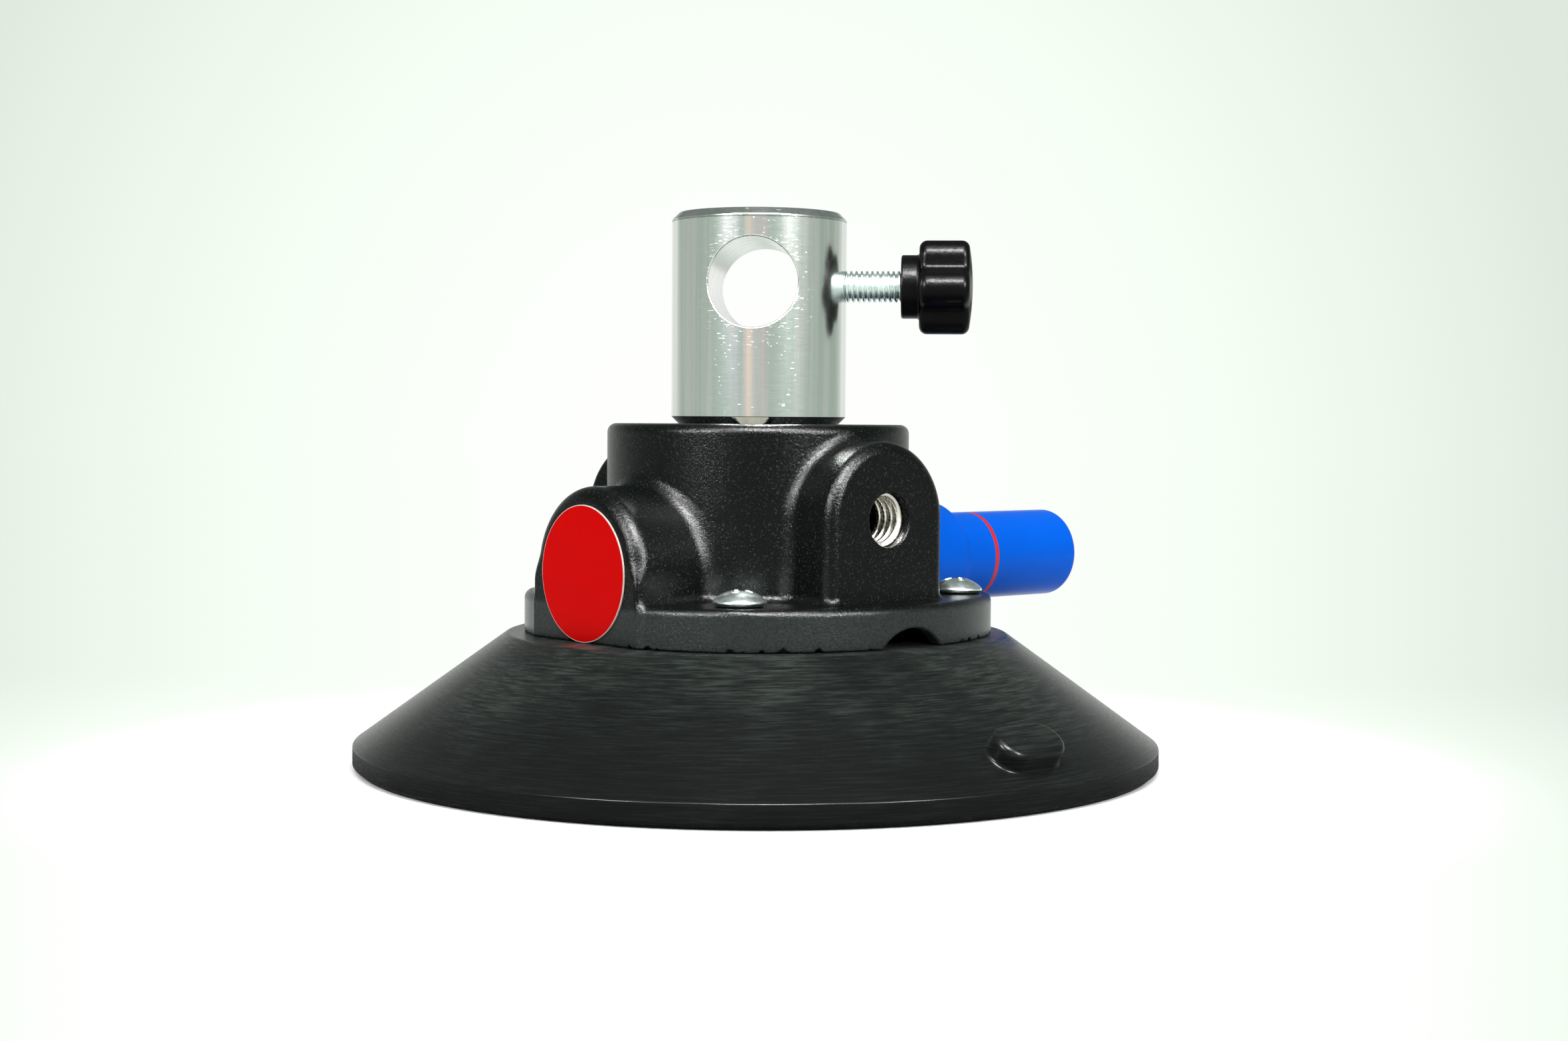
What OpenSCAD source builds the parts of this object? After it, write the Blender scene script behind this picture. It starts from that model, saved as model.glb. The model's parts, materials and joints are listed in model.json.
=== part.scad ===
// Hand-pump vacuum cup with a cross-bored spigot socket.
// +Z is up and +X points out of the pump. The origin is the centre of the face that the pad seals against.

/* [Rubber pad] */
// Outside diameter of the pad
pad_d = 152.4; // [146:0.1:160]
// Width of the flat ledge left outside the flange's corners
shoulder_ledge = 2.7; // [1:0.1:6]
// Height of the flat top above the gripped surface
pad_h = 25; // [24:0.1:30]
// Height of the upright rim band's top edge
rim_top_h = 4.4; // [3:0.1:7]
// Height of the relieved edge under the rim band
rim_relief_h = 1.1; // [0.5:0.1:2]
// How far the relieved edge is cut back
rim_relief_w = 1.3; // [0.5:0.1:2.5]
// Width of the flat sealing ring that touches the surface
seal_ring_w = 5.5; // [3:0.1:8]
// Height of the roof inside the pad
cavity_h = 12.5; // [10:0.1:13.5]
// Radius at which the roof begins to curve down
cavity_roof_r = 34; // [26:0.5:40]
// Length of the release tab
tab_l = 14.9; // [12:0.1:20]
// Width of the release tab
tab_w = 8.2; // [6:0.1:9]
// How far the release tab stands off the cone
tab_h = 3.6; // [2:0.1:5]
// Rounding of the release tab's edge
tab_edge_r = 1.2; // [0.4:0.1:1.8]
// Distance of the release tab from the axis
tab_at_r = 69.4; // [62:0.1:70]

/* [Backing plate and gasket] */
// Width of the steel plate outside the screws' axes
plate_rim = 5.3; // [4:0.1:6.5]
// Thickness of the steel plate
plate_t = 3; // [2:0.1:4]
// Thickness of the sheet gasket between the plate and the housing
gasket_t = 1; // [0.5:0.1:1.5]
// Diameter of the air hole in the gasket
gasket_hole_d = 12; // [8:0.5:16]

/* [Housing] */
// Rubber left between the screws and the locating spigot under the flange
register_gap = 1.5; // [1:0.1:4]
// Depth of the locating spigot below the flange
register_h = 4; // [3:0.1:5]
// Width of the flange outside the screws' axes
flange_rim = 6.7; // [5:0.1:8]
// How much less the flange reaches midway between two screws
flange_waist = 1.6; // [0.8:0.1:2.4]
// Thickness of the flange
flange_t = 7.7; // [5:0.1:9]
// Rounding of the flange's top edge
flange_edge_r = 1.5; // [0.3:0.1:2]
// Diameter of the drum
drum_d = 57.4; // [54:0.1:60]
// Height of the drum above the flange
drum_h = 31.8; // [30:0.1:36]
// Rounding of the drum's top edge
drum_edge_r = 1.7; // [0.5:0.1:3]
// Fillet between the drum and the flange
drum_foot_r = 2; // [1:0.1:3]
// Fillet between the drum and the sides of the bosses
blend_r = 3.6; // [2:0.1:4.5]
// Casting under the bore, above the flange's underside
bore_floor_t = 1.24; // [1:0.02:3]
// Wall of the pump barrel
barrel_wall = 4.44; // [3.4:0.02:5]
// Distance of the barrel's closed end from the axis of the drum
barrel_reach = 41; // [40:0.1:42]
// How far the barrel's mouth stands out from the drum
mouth_stand = 4.3; // [3.6:0.1:5.5]
// Rounding of the barrel's end edges
barrel_edge_r = 3; // [1:0.1:4]
// Height of the threaded side bosses' axis above the flange's underside
arch_axis_h = 22.5; // [20:0.1:25]
// Radius of the side bosses
arch_r = 14.1; // [12:0.1:15]
// How far the side bosses' faces stand out from the drum
arch_stand = 7.8; // [5:0.1:9.3]
// Rounding of the side bosses' end edges
arch_edge_r = 2.4; // [0.5:0.1:3]
// Width of the vent notch under the flange
vent_w = 14; // [8:0.1:16]
// Height of the vent notch
vent_h = 3.6; // [2:0.1:4.5]
// Length of the vent notch, inwards from the flange's edge
vent_l = 9; // [5:0.5:9]

/* [Flange screws] */
// Gap between the screw heads and the drum
screw_gap = 4.5; // [4:0.1:7]
// Diameter of the screws
screw_d = 5; // [4:0.1:5.2]
// Clearance around the screws in the flange
screw_clearance = 0.15; // [0.1:0.05:0.3]
// Diameter of the screw heads
screw_head_d = 9.7; // [8:0.1:10]
// Height of the screw heads
screw_head_h = 3; // [2:0.1:3.5]
// Straight part of the screw heads' edge
screw_head_edge = 0.7; // [0.3:0.1:1.2]
// Width of the cross recess's arms
screw_recess_w = 1.1; // [0.8:0.1:1.5]
// Span of the cross recess
screw_recess_l = 4.8; // [3:0.1:6]
// Depth of the cross recess
screw_recess_h = 1.8; // [1:0.1:2.2]

/* [Pump] */
// Diameter of the plunger's body
plunger_d = 22.4; // [20:0.1:22.6]
// Diameter of the part that the thumb pushes
thumb_d = 18; // [15:0.1:18.5]
// Length of the part that the thumb pushes
thumb_l = 32; // [26:0.1:36]
// How far the plunger's body stands out of the barrel, fully out
body_out_l = 13; // [11:0.1:16]
// Length of the cone between the body and the thumb part
cone_l = 3.2; // [2:0.1:6]
// Rounding of the thumb end
thumb_edge_r = 1.6; // [0.5:0.1:3]
// Length of the plunger's body
body_l = 42.4; // [41:0.1:46]
// How far the plunger is pressed in
plunger_travel = 27; // [20:0.5:27]
// Running clearance around the plunger
plunger_fit = 0.06; // [0.03:0.01:0.1]
// Thickness of the barrel's closed end
barrel_end_t = 6; // [4:0.1:7]
// Chamfer at the barrel's mouth
barrel_mouth_c = 0.8; // [0.3:0.1:1.2]
// Depth of the spring pocket in the plunger
spring_pocket_l = 39; // [30:0.5:44]
// Wall of the plunger around its spring pocket
plunger_wall = 3; // [2.8:0.1:4]
// Gap around the spring in its pocket
spring_gap = 0.4; // [0.2:0.1:1]
// Diameter of the spring wire
spring_wire_d = 1.4; // [1:0.1:1.8]
// Turns of the spring
spring_turns = 13; // [8:1:16]
// Width of the piston seal
seal_w = 3.2; // [2:0.1:4]
// Depth of the piston seal's groove
seal_groove = 1.8; // [1:0.1:2]
// Distance of the piston seal from the plunger's inner end
seal_setback = 2.5; // [1.5:0.1:5]
// Distance of the red ring from the thumb end
ring_setback = 24.9; // [20:0.1:28]
// Width of the red ring
ring_w = 1; // [0.6:0.1:2]
// Depth of the red ring's groove
ring_groove = 0.35; // [0.2:0.05:0.6]
// Diameter of the stop pin
stop_pin_d = 3; // [2:0.1:4]
// Distance of the stop pin from the edge of the locating spigot
stop_pin_inset = 4.5; // [3:0.1:7]
// How far the stop pin stands into the bore
stop_pin_in = 1.5; // [1:0.1:1.8]
// Clearance around the stop pin in its slot
stop_pin_fit = 0.3; // [0.2:0.05:0.5]
// Margin around the red disc on the flat of the barrel's closed end
label_margin = 0.3; // [0:0.1:2]
// Thickness of the red disc
label_t = 0.3; // [0.1:0.05:0.5]

/* [Air passage and valve] */
// Diameter of the port into the bore
port_d = 4; // [3:0.1:4.5]
// Distance of the port from the barrel's closed end
port_setback = 4.5; // [3:0.1:6]
// Width of the air groove under the housing
groove_w = 5; // [4:0.1:7]
// Depth of the air groove
groove_h = 2.8; // [2:0.1:3.2]
// Wall of the valve body's neck
valve_wall = 1.5; // [1:0.1:3]
// Width of the valve body's head outside its neck
valve_head_w = 5; // [3:0.1:8]
// Thickness of the valve body's head
valve_head_t = 3; // [2.5:0.1:4]
// Edge chamfer of the valve body's head
valve_head_c = 1; // [0.5:0.1:1.5]
// Diameter of the pocket that holds the seat, filter and cap
valve_pocket_d = 15; // [13:0.1:15.5]
// Width of the ledge that the seat is pressed against
valve_ledge = 1.3; // [1:0.1:1.6]
// Depth of the chamber above the seat
valve_chamber_h = 4.5; // [3.5:0.1:5]
// Thickness of the valve seat
seat_t = 1.5; // [1:0.1:2]
// Diameter of the air holes in the seat
seat_hole_d = 1.6; // [1:0.1:2]
// Gap around the rubber flap
flap_gap = 0.6; // [0.3:0.1:1]
// Thickness of the rubber flap
flap_t = 1.2; // [0.8:0.1:1.6]
// Diameter of the flap's stem
flap_stem_d = 2.2; // [1.6:0.1:2.6]
// Diameter of the bulb that holds the stem
flap_bulb_d = 3.2; // [3:0.1:3.6]
// Length of the bulb
flap_bulb_l = 1.2; // [0.8:0.1:1.6]
// Thickness of the filter disc
filter_t = 2.6; // [2:0.1:2.8]
// Diameter of the hole in the filter disc
filter_hole_d = 4; // [3.8:0.1:5]
// Thickness of the filter cap
cap_t = 1.5; // [1:0.1:2]
// Diameter of the holes in the filter cap
cap_hole_d = 2.2; // [1.5:0.1:2.6]
// Clearance of the pieces pressed into each other
seat_fit = 0.03; // [0.02:0.01:0.06]

/* [Threads and inserts] */
// Nominal diameter of the housing's threads
thread_d = 9.525; // [8:0.005:10]
// Clearance of a screw in a thread
thread_clearance = 0.05; // [0.03:0.01:0.1]
// Wall of the wire insert
insert_wall = 0.3; // [0.25:0.05:0.5]
// Length of the side bosses' wire inserts
side_insert_l = 8; // [7:0.1:15]
// Length of the wire insert under the spigot socket
top_insert_l = 9.5; // [7:0.1:10]
// How far a wire insert sits below the face
insert_recess = 0.8; // [0.4:0.1:1.5]
// Depth of the drilled holes behind the side bosses' wire inserts
side_tip_l = 4; // [1:0.1:8]
// Depth of the drilled hole behind the wire insert under the spigot socket
top_tip_l = 2; // [1:0.1:3]

/* [Spigot socket] */
// Diameter of the socket
socket_d = 33.2; // [30:0.1:36]
// Height of the socket
socket_h = 39.8; // [37:0.1:44]
// Chamfer of the socket's top edge
socket_top_c = 1.3; // [0.5:0.1:2]
// Chamfer of the socket's bottom edge
socket_foot_c = 1.4; // [0.5:0.1:2]
// Diameter of the cross bore
spigot_bore_d = 16.6; // [16.2:0.1:18]
// Height of the cross bore above the socket's foot
spigot_bore_h = 26.1; // [24:0.1:28]
// Direction of the cross bore, clockwise from -Y seen from above
spigot_turn = -45; // [-90:1:0]
// Depth of the tapped hole in the socket's foot
socket_tap_l = 13; // [10:0.1:15]
// Gap left past each end of the stud that joins the socket to the housing
stud_gap = 1; // [0.5:0.1:2]
// Chamfer of the stud's ends
stud_c = 1; // [0.3:0.1:1.5]
// Width of the tool notch in the chamfer of the socket's foot
notch_w = 7.6; // [5:0.1:9]
// How far the tool notch stays below the top of the chamfer
notch_margin = 0.1; // [0.05:0.05:0.5]

/* [Clamp screw and knob] */
// Diameter of the clamp screw
clamp_d = 6; // [5:0.1:6]
// Running clearance of the clamp screw
clamp_fit = 0.05; // [0.03:0.01:0.1]
// How far the clamp screw's tip stays back from the cross bore
clamp_tip_gap = 0.7; // [0.3:0.1:1.5]
// Chamfer of the clamp screw's tip
clamp_tip_c = 0.8; // [0.3:0.1:1.2]
// Gap between the socket and the knob with the screw backed out
clamp_gap = 10.4; // [10.4:0.1:14]
// Diameter of the knob's hub
hub_d = 12; // [10:0.1:13]
// Length of the knob's hub
hub_l = 3.4; // [2:0.1:5]
// Diameter across the knob's lobes
knob_d = 18.2; // [16:0.1:22]
// Length of the knob's head
knob_l = 10.1; // [8:0.1:14]
// Number of lobes on the knob
knob_lobes = 5; // [4:1:7]
// Diameter of each lobe
lobe_d = 6.6; // [6.6:0.1:8]
// Rounding of the knob's edges
knob_edge_r = 1.6; // [0.5:0.1:2.5]
// Turn of the knob about its screw
knob_turn = -12; // [-36:1:36]
// Depth of the screw in the knob
knob_socket_l = 9; // [6:0.1:11]

/* [Hidden] */

$fn = 96;
over = 1; // how far a cutting solid runs past the face that it cuts

rubber_color = "#1b1c1d";
casting_color = "#26282a";
steel_color = "#b9bcbf";
aluminium_color = "#c9ccce";
blue_color = "#0a4fe0";
red_color = "#c81a12";

// From the drum outwards: screws, flange, plate and pad
drum_r = drum_d / 2;
screw_at_r = drum_r + screw_gap + screw_head_d / 2;
flange_corner_r = screw_at_r + flange_rim;
flange_mid_r = flange_corner_r - flange_waist;
register_r = screw_at_r - screw_d / 2 - register_gap;
plate_r = screw_at_r + plate_rim;
shoulder_r = flange_corner_r + shoulder_ledge;
pad_r = pad_d / 2;
contact_r = pad_r - rim_relief_w;
cone_angle = atan2(pad_h - rim_top_h, pad_r - shoulder_r);

// The flange's outline is four wide arcs, one to each side. They meet at the screws.
flange_side = flange_corner_r / sqrt(2);
flange_arc_shift = (pow(flange_corner_r, 2) - pow(flange_mid_r, 2)) / (2 * (flange_mid_r - flange_side));
flange_arc_r = flange_mid_r + flange_arc_shift;

bore_r = plunger_d / 2 + plunger_fit;
barrel_r = bore_r + barrel_wall;
barrel_axis_h = bore_floor_t + bore_r;
arch_reach = drum_r + arch_stand;

// Heights
register_z = pad_h - register_h;
plate_top_z = register_z - gasket_t;
plate_z = plate_top_z - plate_t;
flange_top_z = pad_h + flange_t;
drum_top_z = flange_top_z + drum_h;
bore_floor_z = pad_h + bore_floor_t;
barrel_z = pad_h + barrel_axis_h;
arch_z = pad_h + arch_axis_h;

// Along the pump
mouth_x = drum_r + mouth_stand;
bore_end_x = barrel_end_t - barrel_reach;
port_x = bore_end_x + port_setback;
stop_pin_x = register_r - stop_pin_inset;
cone_start_x = mouth_x + body_out_l;
plunger_tail_x = cone_start_x - body_l;
thumb_reach = cone_start_x + cone_l + thumb_l;
seal_x = plunger_tail_x + seal_setback;
ring_x = thumb_reach - ring_setback;
slot_r = stop_pin_d / 2 + stop_pin_fit;
spring_pocket_d = plunger_d - 2 * plunger_wall;
spring_d = spring_pocket_d - 2 * spring_gap;
label_d = 2 * (barrel_r - barrel_edge_r - label_margin);

insert_hole_r = thread_d / 2 + thread_clearance;
insert_r = insert_hole_r + insert_wall;
stud_foot_z = drum_top_z - insert_recess - top_insert_l - top_tip_l + stud_gap;
stud_top_z = drum_top_z + socket_tap_l - stud_gap;

valve_neck_d = valve_pocket_d + 2 * valve_wall;
valve_head_d = valve_neck_d + 2 * valve_head_w;
valve_chamber_d = valve_pocket_d - 2 * valve_ledge;
flap_d = valve_chamber_d - 2 * flap_gap;
valve_head_z = cavity_h - valve_head_t;
seat_z = plate_top_z - valve_chamber_h - seat_t;
flap_z = seat_z + seat_t;
filter_z = seat_z - filter_t;
pocket_fill_r = valve_pocket_d / 2 - seat_fit;

socket_r = socket_d / 2;
socket_top_z = drum_top_z + socket_h;
spigot_z = drum_top_z + spigot_bore_h;
notch_h = socket_foot_c - notch_margin;
notch_l = socket_foot_c + 2 * notch_margin;
clamp_tip_r = spigot_bore_d / 2 + clamp_tip_gap;
hub_r_from_axis = socket_r + clamp_gap;
knob_x = hub_r_from_axis + hub_l;

// Shapes that repeat

// The square corner left outside a rounding of radius r
module outside_corner(r) {
    difference() {
        square(r + over);
        circle(r);
    }
}

// A round bar along +Z with its ends' edges rounded
module bar(r, h, top = 0, foot = 0) {
    rotate_extrude()
        difference() {
            square([r, h]);
            if (top > 0) translate([r - top, h - top]) outside_corner(top);
            if (foot > 0) translate([r - foot, foot]) mirror([0, 1]) outside_corner(foot);
        }
}

// A round bar along +Z with its ends' edges chamfered
module chamfered_bar(r, h, top = 0, foot = 0) {
    rotate_extrude()
        polygon([[0, 0], [r - foot, 0], [r, foot], [r, h - top], [r - top, h], [0, h]]);
}

// A rectangle about the origin with rounded corners
module rounded_rect(w, l, r) {
    square([w - 2 * r, l], center = true);
    square([w, l - 2 * r], center = true);
    for (x = [-1, 1], y = [-1, 1])
        translate([x * (w / 2 - r), y * (l / 2 - r)]) circle(r);
}

module along_x() rotate([0, 90, 0]) children();
module along_front() rotate([90, 0, 0]) children();

// A place on the axis of the flange's screws
module at_screws() {
    for (turn = [45 : 90 : 315])
        rotate([0, 0, turn]) translate([screw_at_r, 0, 0]) children();
}

// Things that lie along the clamp screw or the cross bore, from the socket's axis outwards
module along_clamp() translate([0, 0, spigot_z]) rotate([0, 0, spigot_turn]) along_x() children();
module along_spigot() translate([0, 0, spigot_z]) rotate([0, 0, spigot_turn]) along_front() children();

// Rubber pad

// One point of the curve that runs from the sealing ring up to the roof
function cavity_curve(t) =
    let (inner_r = contact_r - seal_ring_w,
         ring = [inner_r, 0],
         steep = [inner_r - 0.07 * pad_r, 0.75 * cavity_h],
         shallow = [shoulder_r + 0.08 * pad_r, cavity_h],
         roof = [cavity_roof_r, cavity_h])
    pow(1 - t, 3) * ring + 3 * pow(1 - t, 2) * t * steep
    + 3 * (1 - t) * pow(t, 2) * shallow + pow(t, 3) * roof;

module pad_section() {
    steps = 12;
    polygon(concat(
        [[contact_r, 0], [pad_r, rim_relief_h], [pad_r, rim_top_h], [shoulder_r, pad_h]],
        [[register_r + seat_fit, pad_h], [register_r + seat_fit, plate_top_z]],
        [[plate_r + seat_fit, plate_top_z], [plate_r + seat_fit, plate_z]],
        [[valve_neck_d / 2 + seat_fit, plate_z], [valve_neck_d / 2 + seat_fit, cavity_h]],
        [for (i = [steps : -1 : 0]) cavity_curve(i / steps)]
    ));
}

// The section of the release tab across its length, standing on the cone
module tab_section(root) {
    translate([-tab_w / 2, -root]) square([tab_w, root + tab_h - tab_edge_r]);
    translate([-tab_w / 2 + tab_edge_r, 0]) square([tab_w - 2 * tab_edge_r, tab_h]);
    for (side = [-1, 1])
        translate([side * (tab_w / 2 - tab_edge_r), tab_h - tab_edge_r]) circle(tab_edge_r);
}

module release_tab() {
    root = 2.5;
    straight = tab_l - tab_w;
    cone_z = pad_h - (tab_at_r - shoulder_r) * tan(cone_angle);
    translate([0, -tab_at_r, cone_z])
        rotate([cone_angle, 0, 0]) {
            rotate([90, 0, 90])
                translate([0, 0, -straight / 2]) linear_extrude(straight) tab_section(root);
            for (side = [-1, 1])
                translate([side * straight / 2, 0, 0])
                    rotate_extrude()
                        intersection() {
                            tab_section(root);
                            translate([0, -root]) square([tab_w, root + tab_h]);
                        }
        }
}

module vacuum_pad() {
    color(rubber_color)
        difference() {
            union() {
                rotate_extrude() pad_section();
                release_tab();
            }
            at_screws()
                translate([0, 0, plate_top_z - over])
                    cylinder(h = pad_h - plate_top_z + 2 * over, r = screw_d / 2 + 2 * screw_clearance);
        }
}

module backing_plate() {
    color(steel_color)
        difference() {
            translate([0, 0, plate_z]) cylinder(h = plate_t, r = plate_r);
            translate([0, 0, plate_z - over])
                cylinder(h = plate_t + 2 * over, r = valve_neck_d / 2 + seat_fit);
            at_screws()
                translate([0, 0, plate_z - over])
                    cylinder(h = plate_t + 2 * over, r = screw_d / 2 + thread_clearance);
        }
}

module face_gasket() {
    color(rubber_color)
        difference() {
            translate([0, 0, plate_top_z]) cylinder(h = gasket_t, r = register_r - seat_fit);
            translate([0, 0, plate_top_z - over]) cylinder(h = gasket_t + 2 * over, d = gasket_hole_d);
        }
}

// Housing

// A boss that runs through the drum from x = -back to x = front: half round above its axis, straight below it
module through_boss(r, back, front, axis_h, edge_r) {
    l = back + front;
    translate([-back, 0, pad_h + axis_h])
        intersection() {
            along_x() bar(r, l, top = edge_r, foot = edge_r);
            translate([-over, -r - over, 0]) cube([l + 2 * over, 2 * (r + over), r + over]);
        }
    translate([(front - back) / 2, 0, pad_h]) linear_extrude(axis_h) rounded_rect(l, 2 * r, edge_r);
}

// The concave corner between the drum and one side of a boss that runs along +X, in plan
module blend_plan(half_w) {
    reach = drum_r + blend_r;
    cy = half_w + blend_r;
    cx = sqrt(pow(reach, 2) - pow(cy, 2));
    deep = drum_r - blend_r;
    difference() {
        polygon([[cx, cy], [cx, half_w - over], [deep * cx / reach, half_w - over],
                 [deep * cx / reach, deep * cy / reach]]);
        translate([cx, cy]) circle(blend_r);
    }
}

module boss_blends(half_w, top_h) {
    translate([0, 0, pad_h])
        linear_extrude(top_h)
            for (x = [0, 1], y = [0, 1]) mirror([x, 0]) mirror([0, y]) blend_plan(half_w);
}

// The flange is cut off level with the barrel's closed end
module flange_plate() {
    intersection() {
        intersection_for (quarter = [0 : 3])
            rotate([0, 0, 90 * quarter])
                translate([-flange_arc_shift, 0, pad_h]) bar(flange_arc_r, flange_t, top = flange_edge_r);
        translate([-barrel_reach, -flange_arc_r, pad_h])
            cube([barrel_reach + flange_arc_r, 2 * flange_arc_r, flange_t]);
    }
}

module drum() {
    translate([0, 0, pad_h]) bar(drum_r, drum_top_z - pad_h, top = drum_edge_r);
    translate([0, 0, flange_top_z])
        rotate_extrude()
            difference() {
                translate([drum_r - over, -over]) square(drum_foot_r + over);
                translate([drum_r + drum_foot_r, drum_foot_r]) circle(drum_foot_r);
            }
}

module insert_hole(l, tip) {
    translate([0, 0, -over]) cylinder(h = over + insert_recess + l, r = insert_r + seat_fit);
    cylinder(h = insert_recess + l + tip, r = insert_hole_r);
}

// Past the barrel's mouth the bore runs on as a trough across the flange
module pump_bore() {
    translate([0, 0, barrel_z])
        along_x() translate([0, 0, bore_end_x]) cylinder(h = flange_corner_r - bore_end_x, r = bore_r);
    intersection() {
        translate([mouth_x - barrel_mouth_c, 0, barrel_z])
            along_x() cylinder(h = barrel_mouth_c + over, r1 = bore_r, r2 = bore_r + barrel_mouth_c + over);
        translate([0, -barrel_r, flange_top_z]) cube([flange_corner_r, 2 * barrel_r, 2 * barrel_r]);
    }
}

module air_passage() {
    translate([port_x, 0, register_z - over]) cylinder(h = bore_floor_z - register_z + 2 * over, d = port_d);
    translate([port_x, -groove_w / 2, register_z - over]) cube([-port_x, groove_w, groove_h + over]);
    translate([0, 0, register_z - over]) cylinder(h = groove_h + over, d = gasket_hole_d);
}

// The notch is an arc of a round tunnel under the flange's edge
module vent_notch() {
    r = (pow(vent_w / 2, 2) + pow(vent_h, 2)) / (2 * vent_h);
    intersection() {
        translate([0, -flange_mid_r + vent_l, pad_h + vent_h - r])
            along_front() cylinder(h = 2 * vent_l, r = r);
        translate([-vent_w, -2 * flange_mid_r, pad_h - over])
            cube([2 * vent_w, 2 * flange_mid_r, 2 * vent_h]);
    }
}

module pump_housing() {
    color(casting_color)
        difference() {
            union() {
                translate([0, 0, register_z]) cylinder(h = register_h, r = register_r);
                flange_plate();
                drum();
                through_boss(barrel_r, barrel_reach, mouth_x, barrel_axis_h, barrel_edge_r);
                rotate([0, 0, 90]) through_boss(arch_r, arch_reach, arch_reach, arch_axis_h, arch_edge_r);
                boss_blends(barrel_r, barrel_axis_h);
                rotate([0, 0, 90]) boss_blends(arch_r, arch_axis_h);
            }
            pump_bore();
            air_passage();
            for (side = [0, 1]) mirror([0, side]) {
                translate([0, -arch_reach, arch_z])
                    rotate([-90, 0, 0]) insert_hole(side_insert_l, side_tip_l);
                vent_notch();
            }
            translate([0, 0, drum_top_z]) rotate([180, 0, 0]) insert_hole(top_insert_l, top_tip_l);
            at_screws()
                translate([0, 0, pad_h - over])
                    cylinder(h = flange_t + 2 * over, r = screw_d / 2 + screw_clearance);
            translate([stop_pin_x, 0, register_z - over])
                cylinder(h = bore_floor_z - register_z + 2 * over, r = stop_pin_d / 2 + seat_fit);
        }
}

module flange_screws() {
    dome_h = screw_head_h - screw_head_edge;
    dome_r = (pow(screw_head_d / 2, 2) + pow(dome_h, 2)) / (2 * dome_h);
    color(steel_color)
        at_screws() {
            difference() {
                intersection() {
                    translate([0, 0, flange_top_z]) cylinder(h = screw_head_h, d = screw_head_d);
                    translate([0, 0, flange_top_z + screw_head_h - dome_r]) sphere(dome_r);
                }
                for (turn = [0, 90])
                    rotate([0, 0, turn])
                        translate([0, 0, flange_top_z + screw_head_h - screw_recess_h / 2 + over / 2])
                            cube([screw_recess_l, screw_recess_w, screw_recess_h + over], center = true);
            }
            translate([0, 0, plate_z]) cylinder(h = flange_top_z - plate_z, d = screw_d);
        }
}

module label_disc() {
    color(red_color)
        translate([-barrel_reach - label_t, 0, barrel_z]) along_x() cylinder(h = label_t, d = label_d);
}

module wire_insert(l) {
    color(steel_color)
        translate([0, 0, insert_recess])
            difference() {
                cylinder(h = l, r = insert_r);
                translate([0, 0, -over]) cylinder(h = l + 2 * over, r = insert_hole_r);
            }
}

module thread_insert_front()
    translate([0, -arch_reach, arch_z]) rotate([-90, 0, 0]) wire_insert(side_insert_l);
module thread_insert_rear() rotate([0, 0, 180]) thread_insert_front();
module thread_insert_top()
    translate([0, 0, drum_top_z]) rotate([180, 0, 0]) wire_insert(top_insert_l);

// Pump

module plunger_profile() {
    body_r = plunger_d / 2;
    thumb_r = thumb_d / 2;
    difference() {
        union() {
            translate([0, plunger_tail_x]) square([body_r, cone_start_x - plunger_tail_x]);
            polygon([[0, cone_start_x], [body_r, cone_start_x], [thumb_r, cone_start_x + cone_l],
                     [0, cone_start_x + cone_l]]);
            translate([0, cone_start_x]) square([thumb_r, thumb_reach - cone_start_x]);
        }
        translate([thumb_r - thumb_edge_r, thumb_reach - thumb_edge_r]) outside_corner(thumb_edge_r);
        translate([0, plunger_tail_x - over]) square([spring_pocket_d / 2, spring_pocket_l + over]);
        translate([body_r - seal_groove, seal_x]) square([seal_groove + over, seal_w]);
        translate([thumb_r - ring_groove, ring_x]) square([ring_groove + over, ring_w]);
    }
}

// The slot that the stop pin runs in ends where the plunger is fully out
module stop_slot() {
    slot_l = cone_start_x + cone_l - stop_pin_x;
    depth = stop_pin_in + stop_pin_fit + plunger_fit;
    translate([stop_pin_x, 0, -plunger_d / 2 - over]) {
        cylinder(h = depth + over, r = slot_r);
        translate([0, -slot_r, 0]) cube([slot_l, 2 * slot_r, depth + over]);
    }
}

module plunger() {
    color(blue_color)
        translate([0, 0, barrel_z])
            difference() {
                along_x() rotate_extrude() plunger_profile();
                stop_slot();
            }
}

module indicator_ring() {
    color(red_color)
        translate([ring_x, 0, barrel_z])
            along_x()
                difference() {
                    cylinder(h = ring_w, r = thumb_d / 2);
                    translate([0, 0, -over]) cylinder(h = ring_w + 2 * over, r = thumb_d / 2 - ring_groove);
                }
}

module piston_seal() {
    lip_r = seal_w / 2;
    color(rubber_color)
        translate([seal_x, 0, barrel_z])
            along_x()
                rotate_extrude()
                    intersection() {
                        translate([plunger_d / 2 - seal_groove, 0]) square([seal_groove, seal_w]);
                        union() {
                            translate([plunger_d / 2 - lip_r, lip_r]) circle(lip_r);
                            translate([plunger_d / 2 - seal_groove, 0]) square([seal_groove / 2, seal_w]);
                        }
                    }
}

// Points of one ring of the wire, at a share s of the way along the spring
function wire_ring(s, sides) =
    let (wire_r = spring_wire_d / 2,
         mean_r = spring_d / 2 - wire_r,
         x0 = bore_end_x + wire_r + seat_fit,
         x1 = plunger_tail_x + spring_pocket_l - wire_r - seat_fit,
         turn = 360 * spring_turns * s,
         out = [0, cos(turn), sin(turn)])
    [for (k = [0 : sides - 1])
        let (a = 360 * k / sides)
        [x0 + (x1 - x0) * s, 0, barrel_z] + (mean_r + wire_r * cos(a)) * out + [wire_r * sin(a), 0, 0]];

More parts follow.
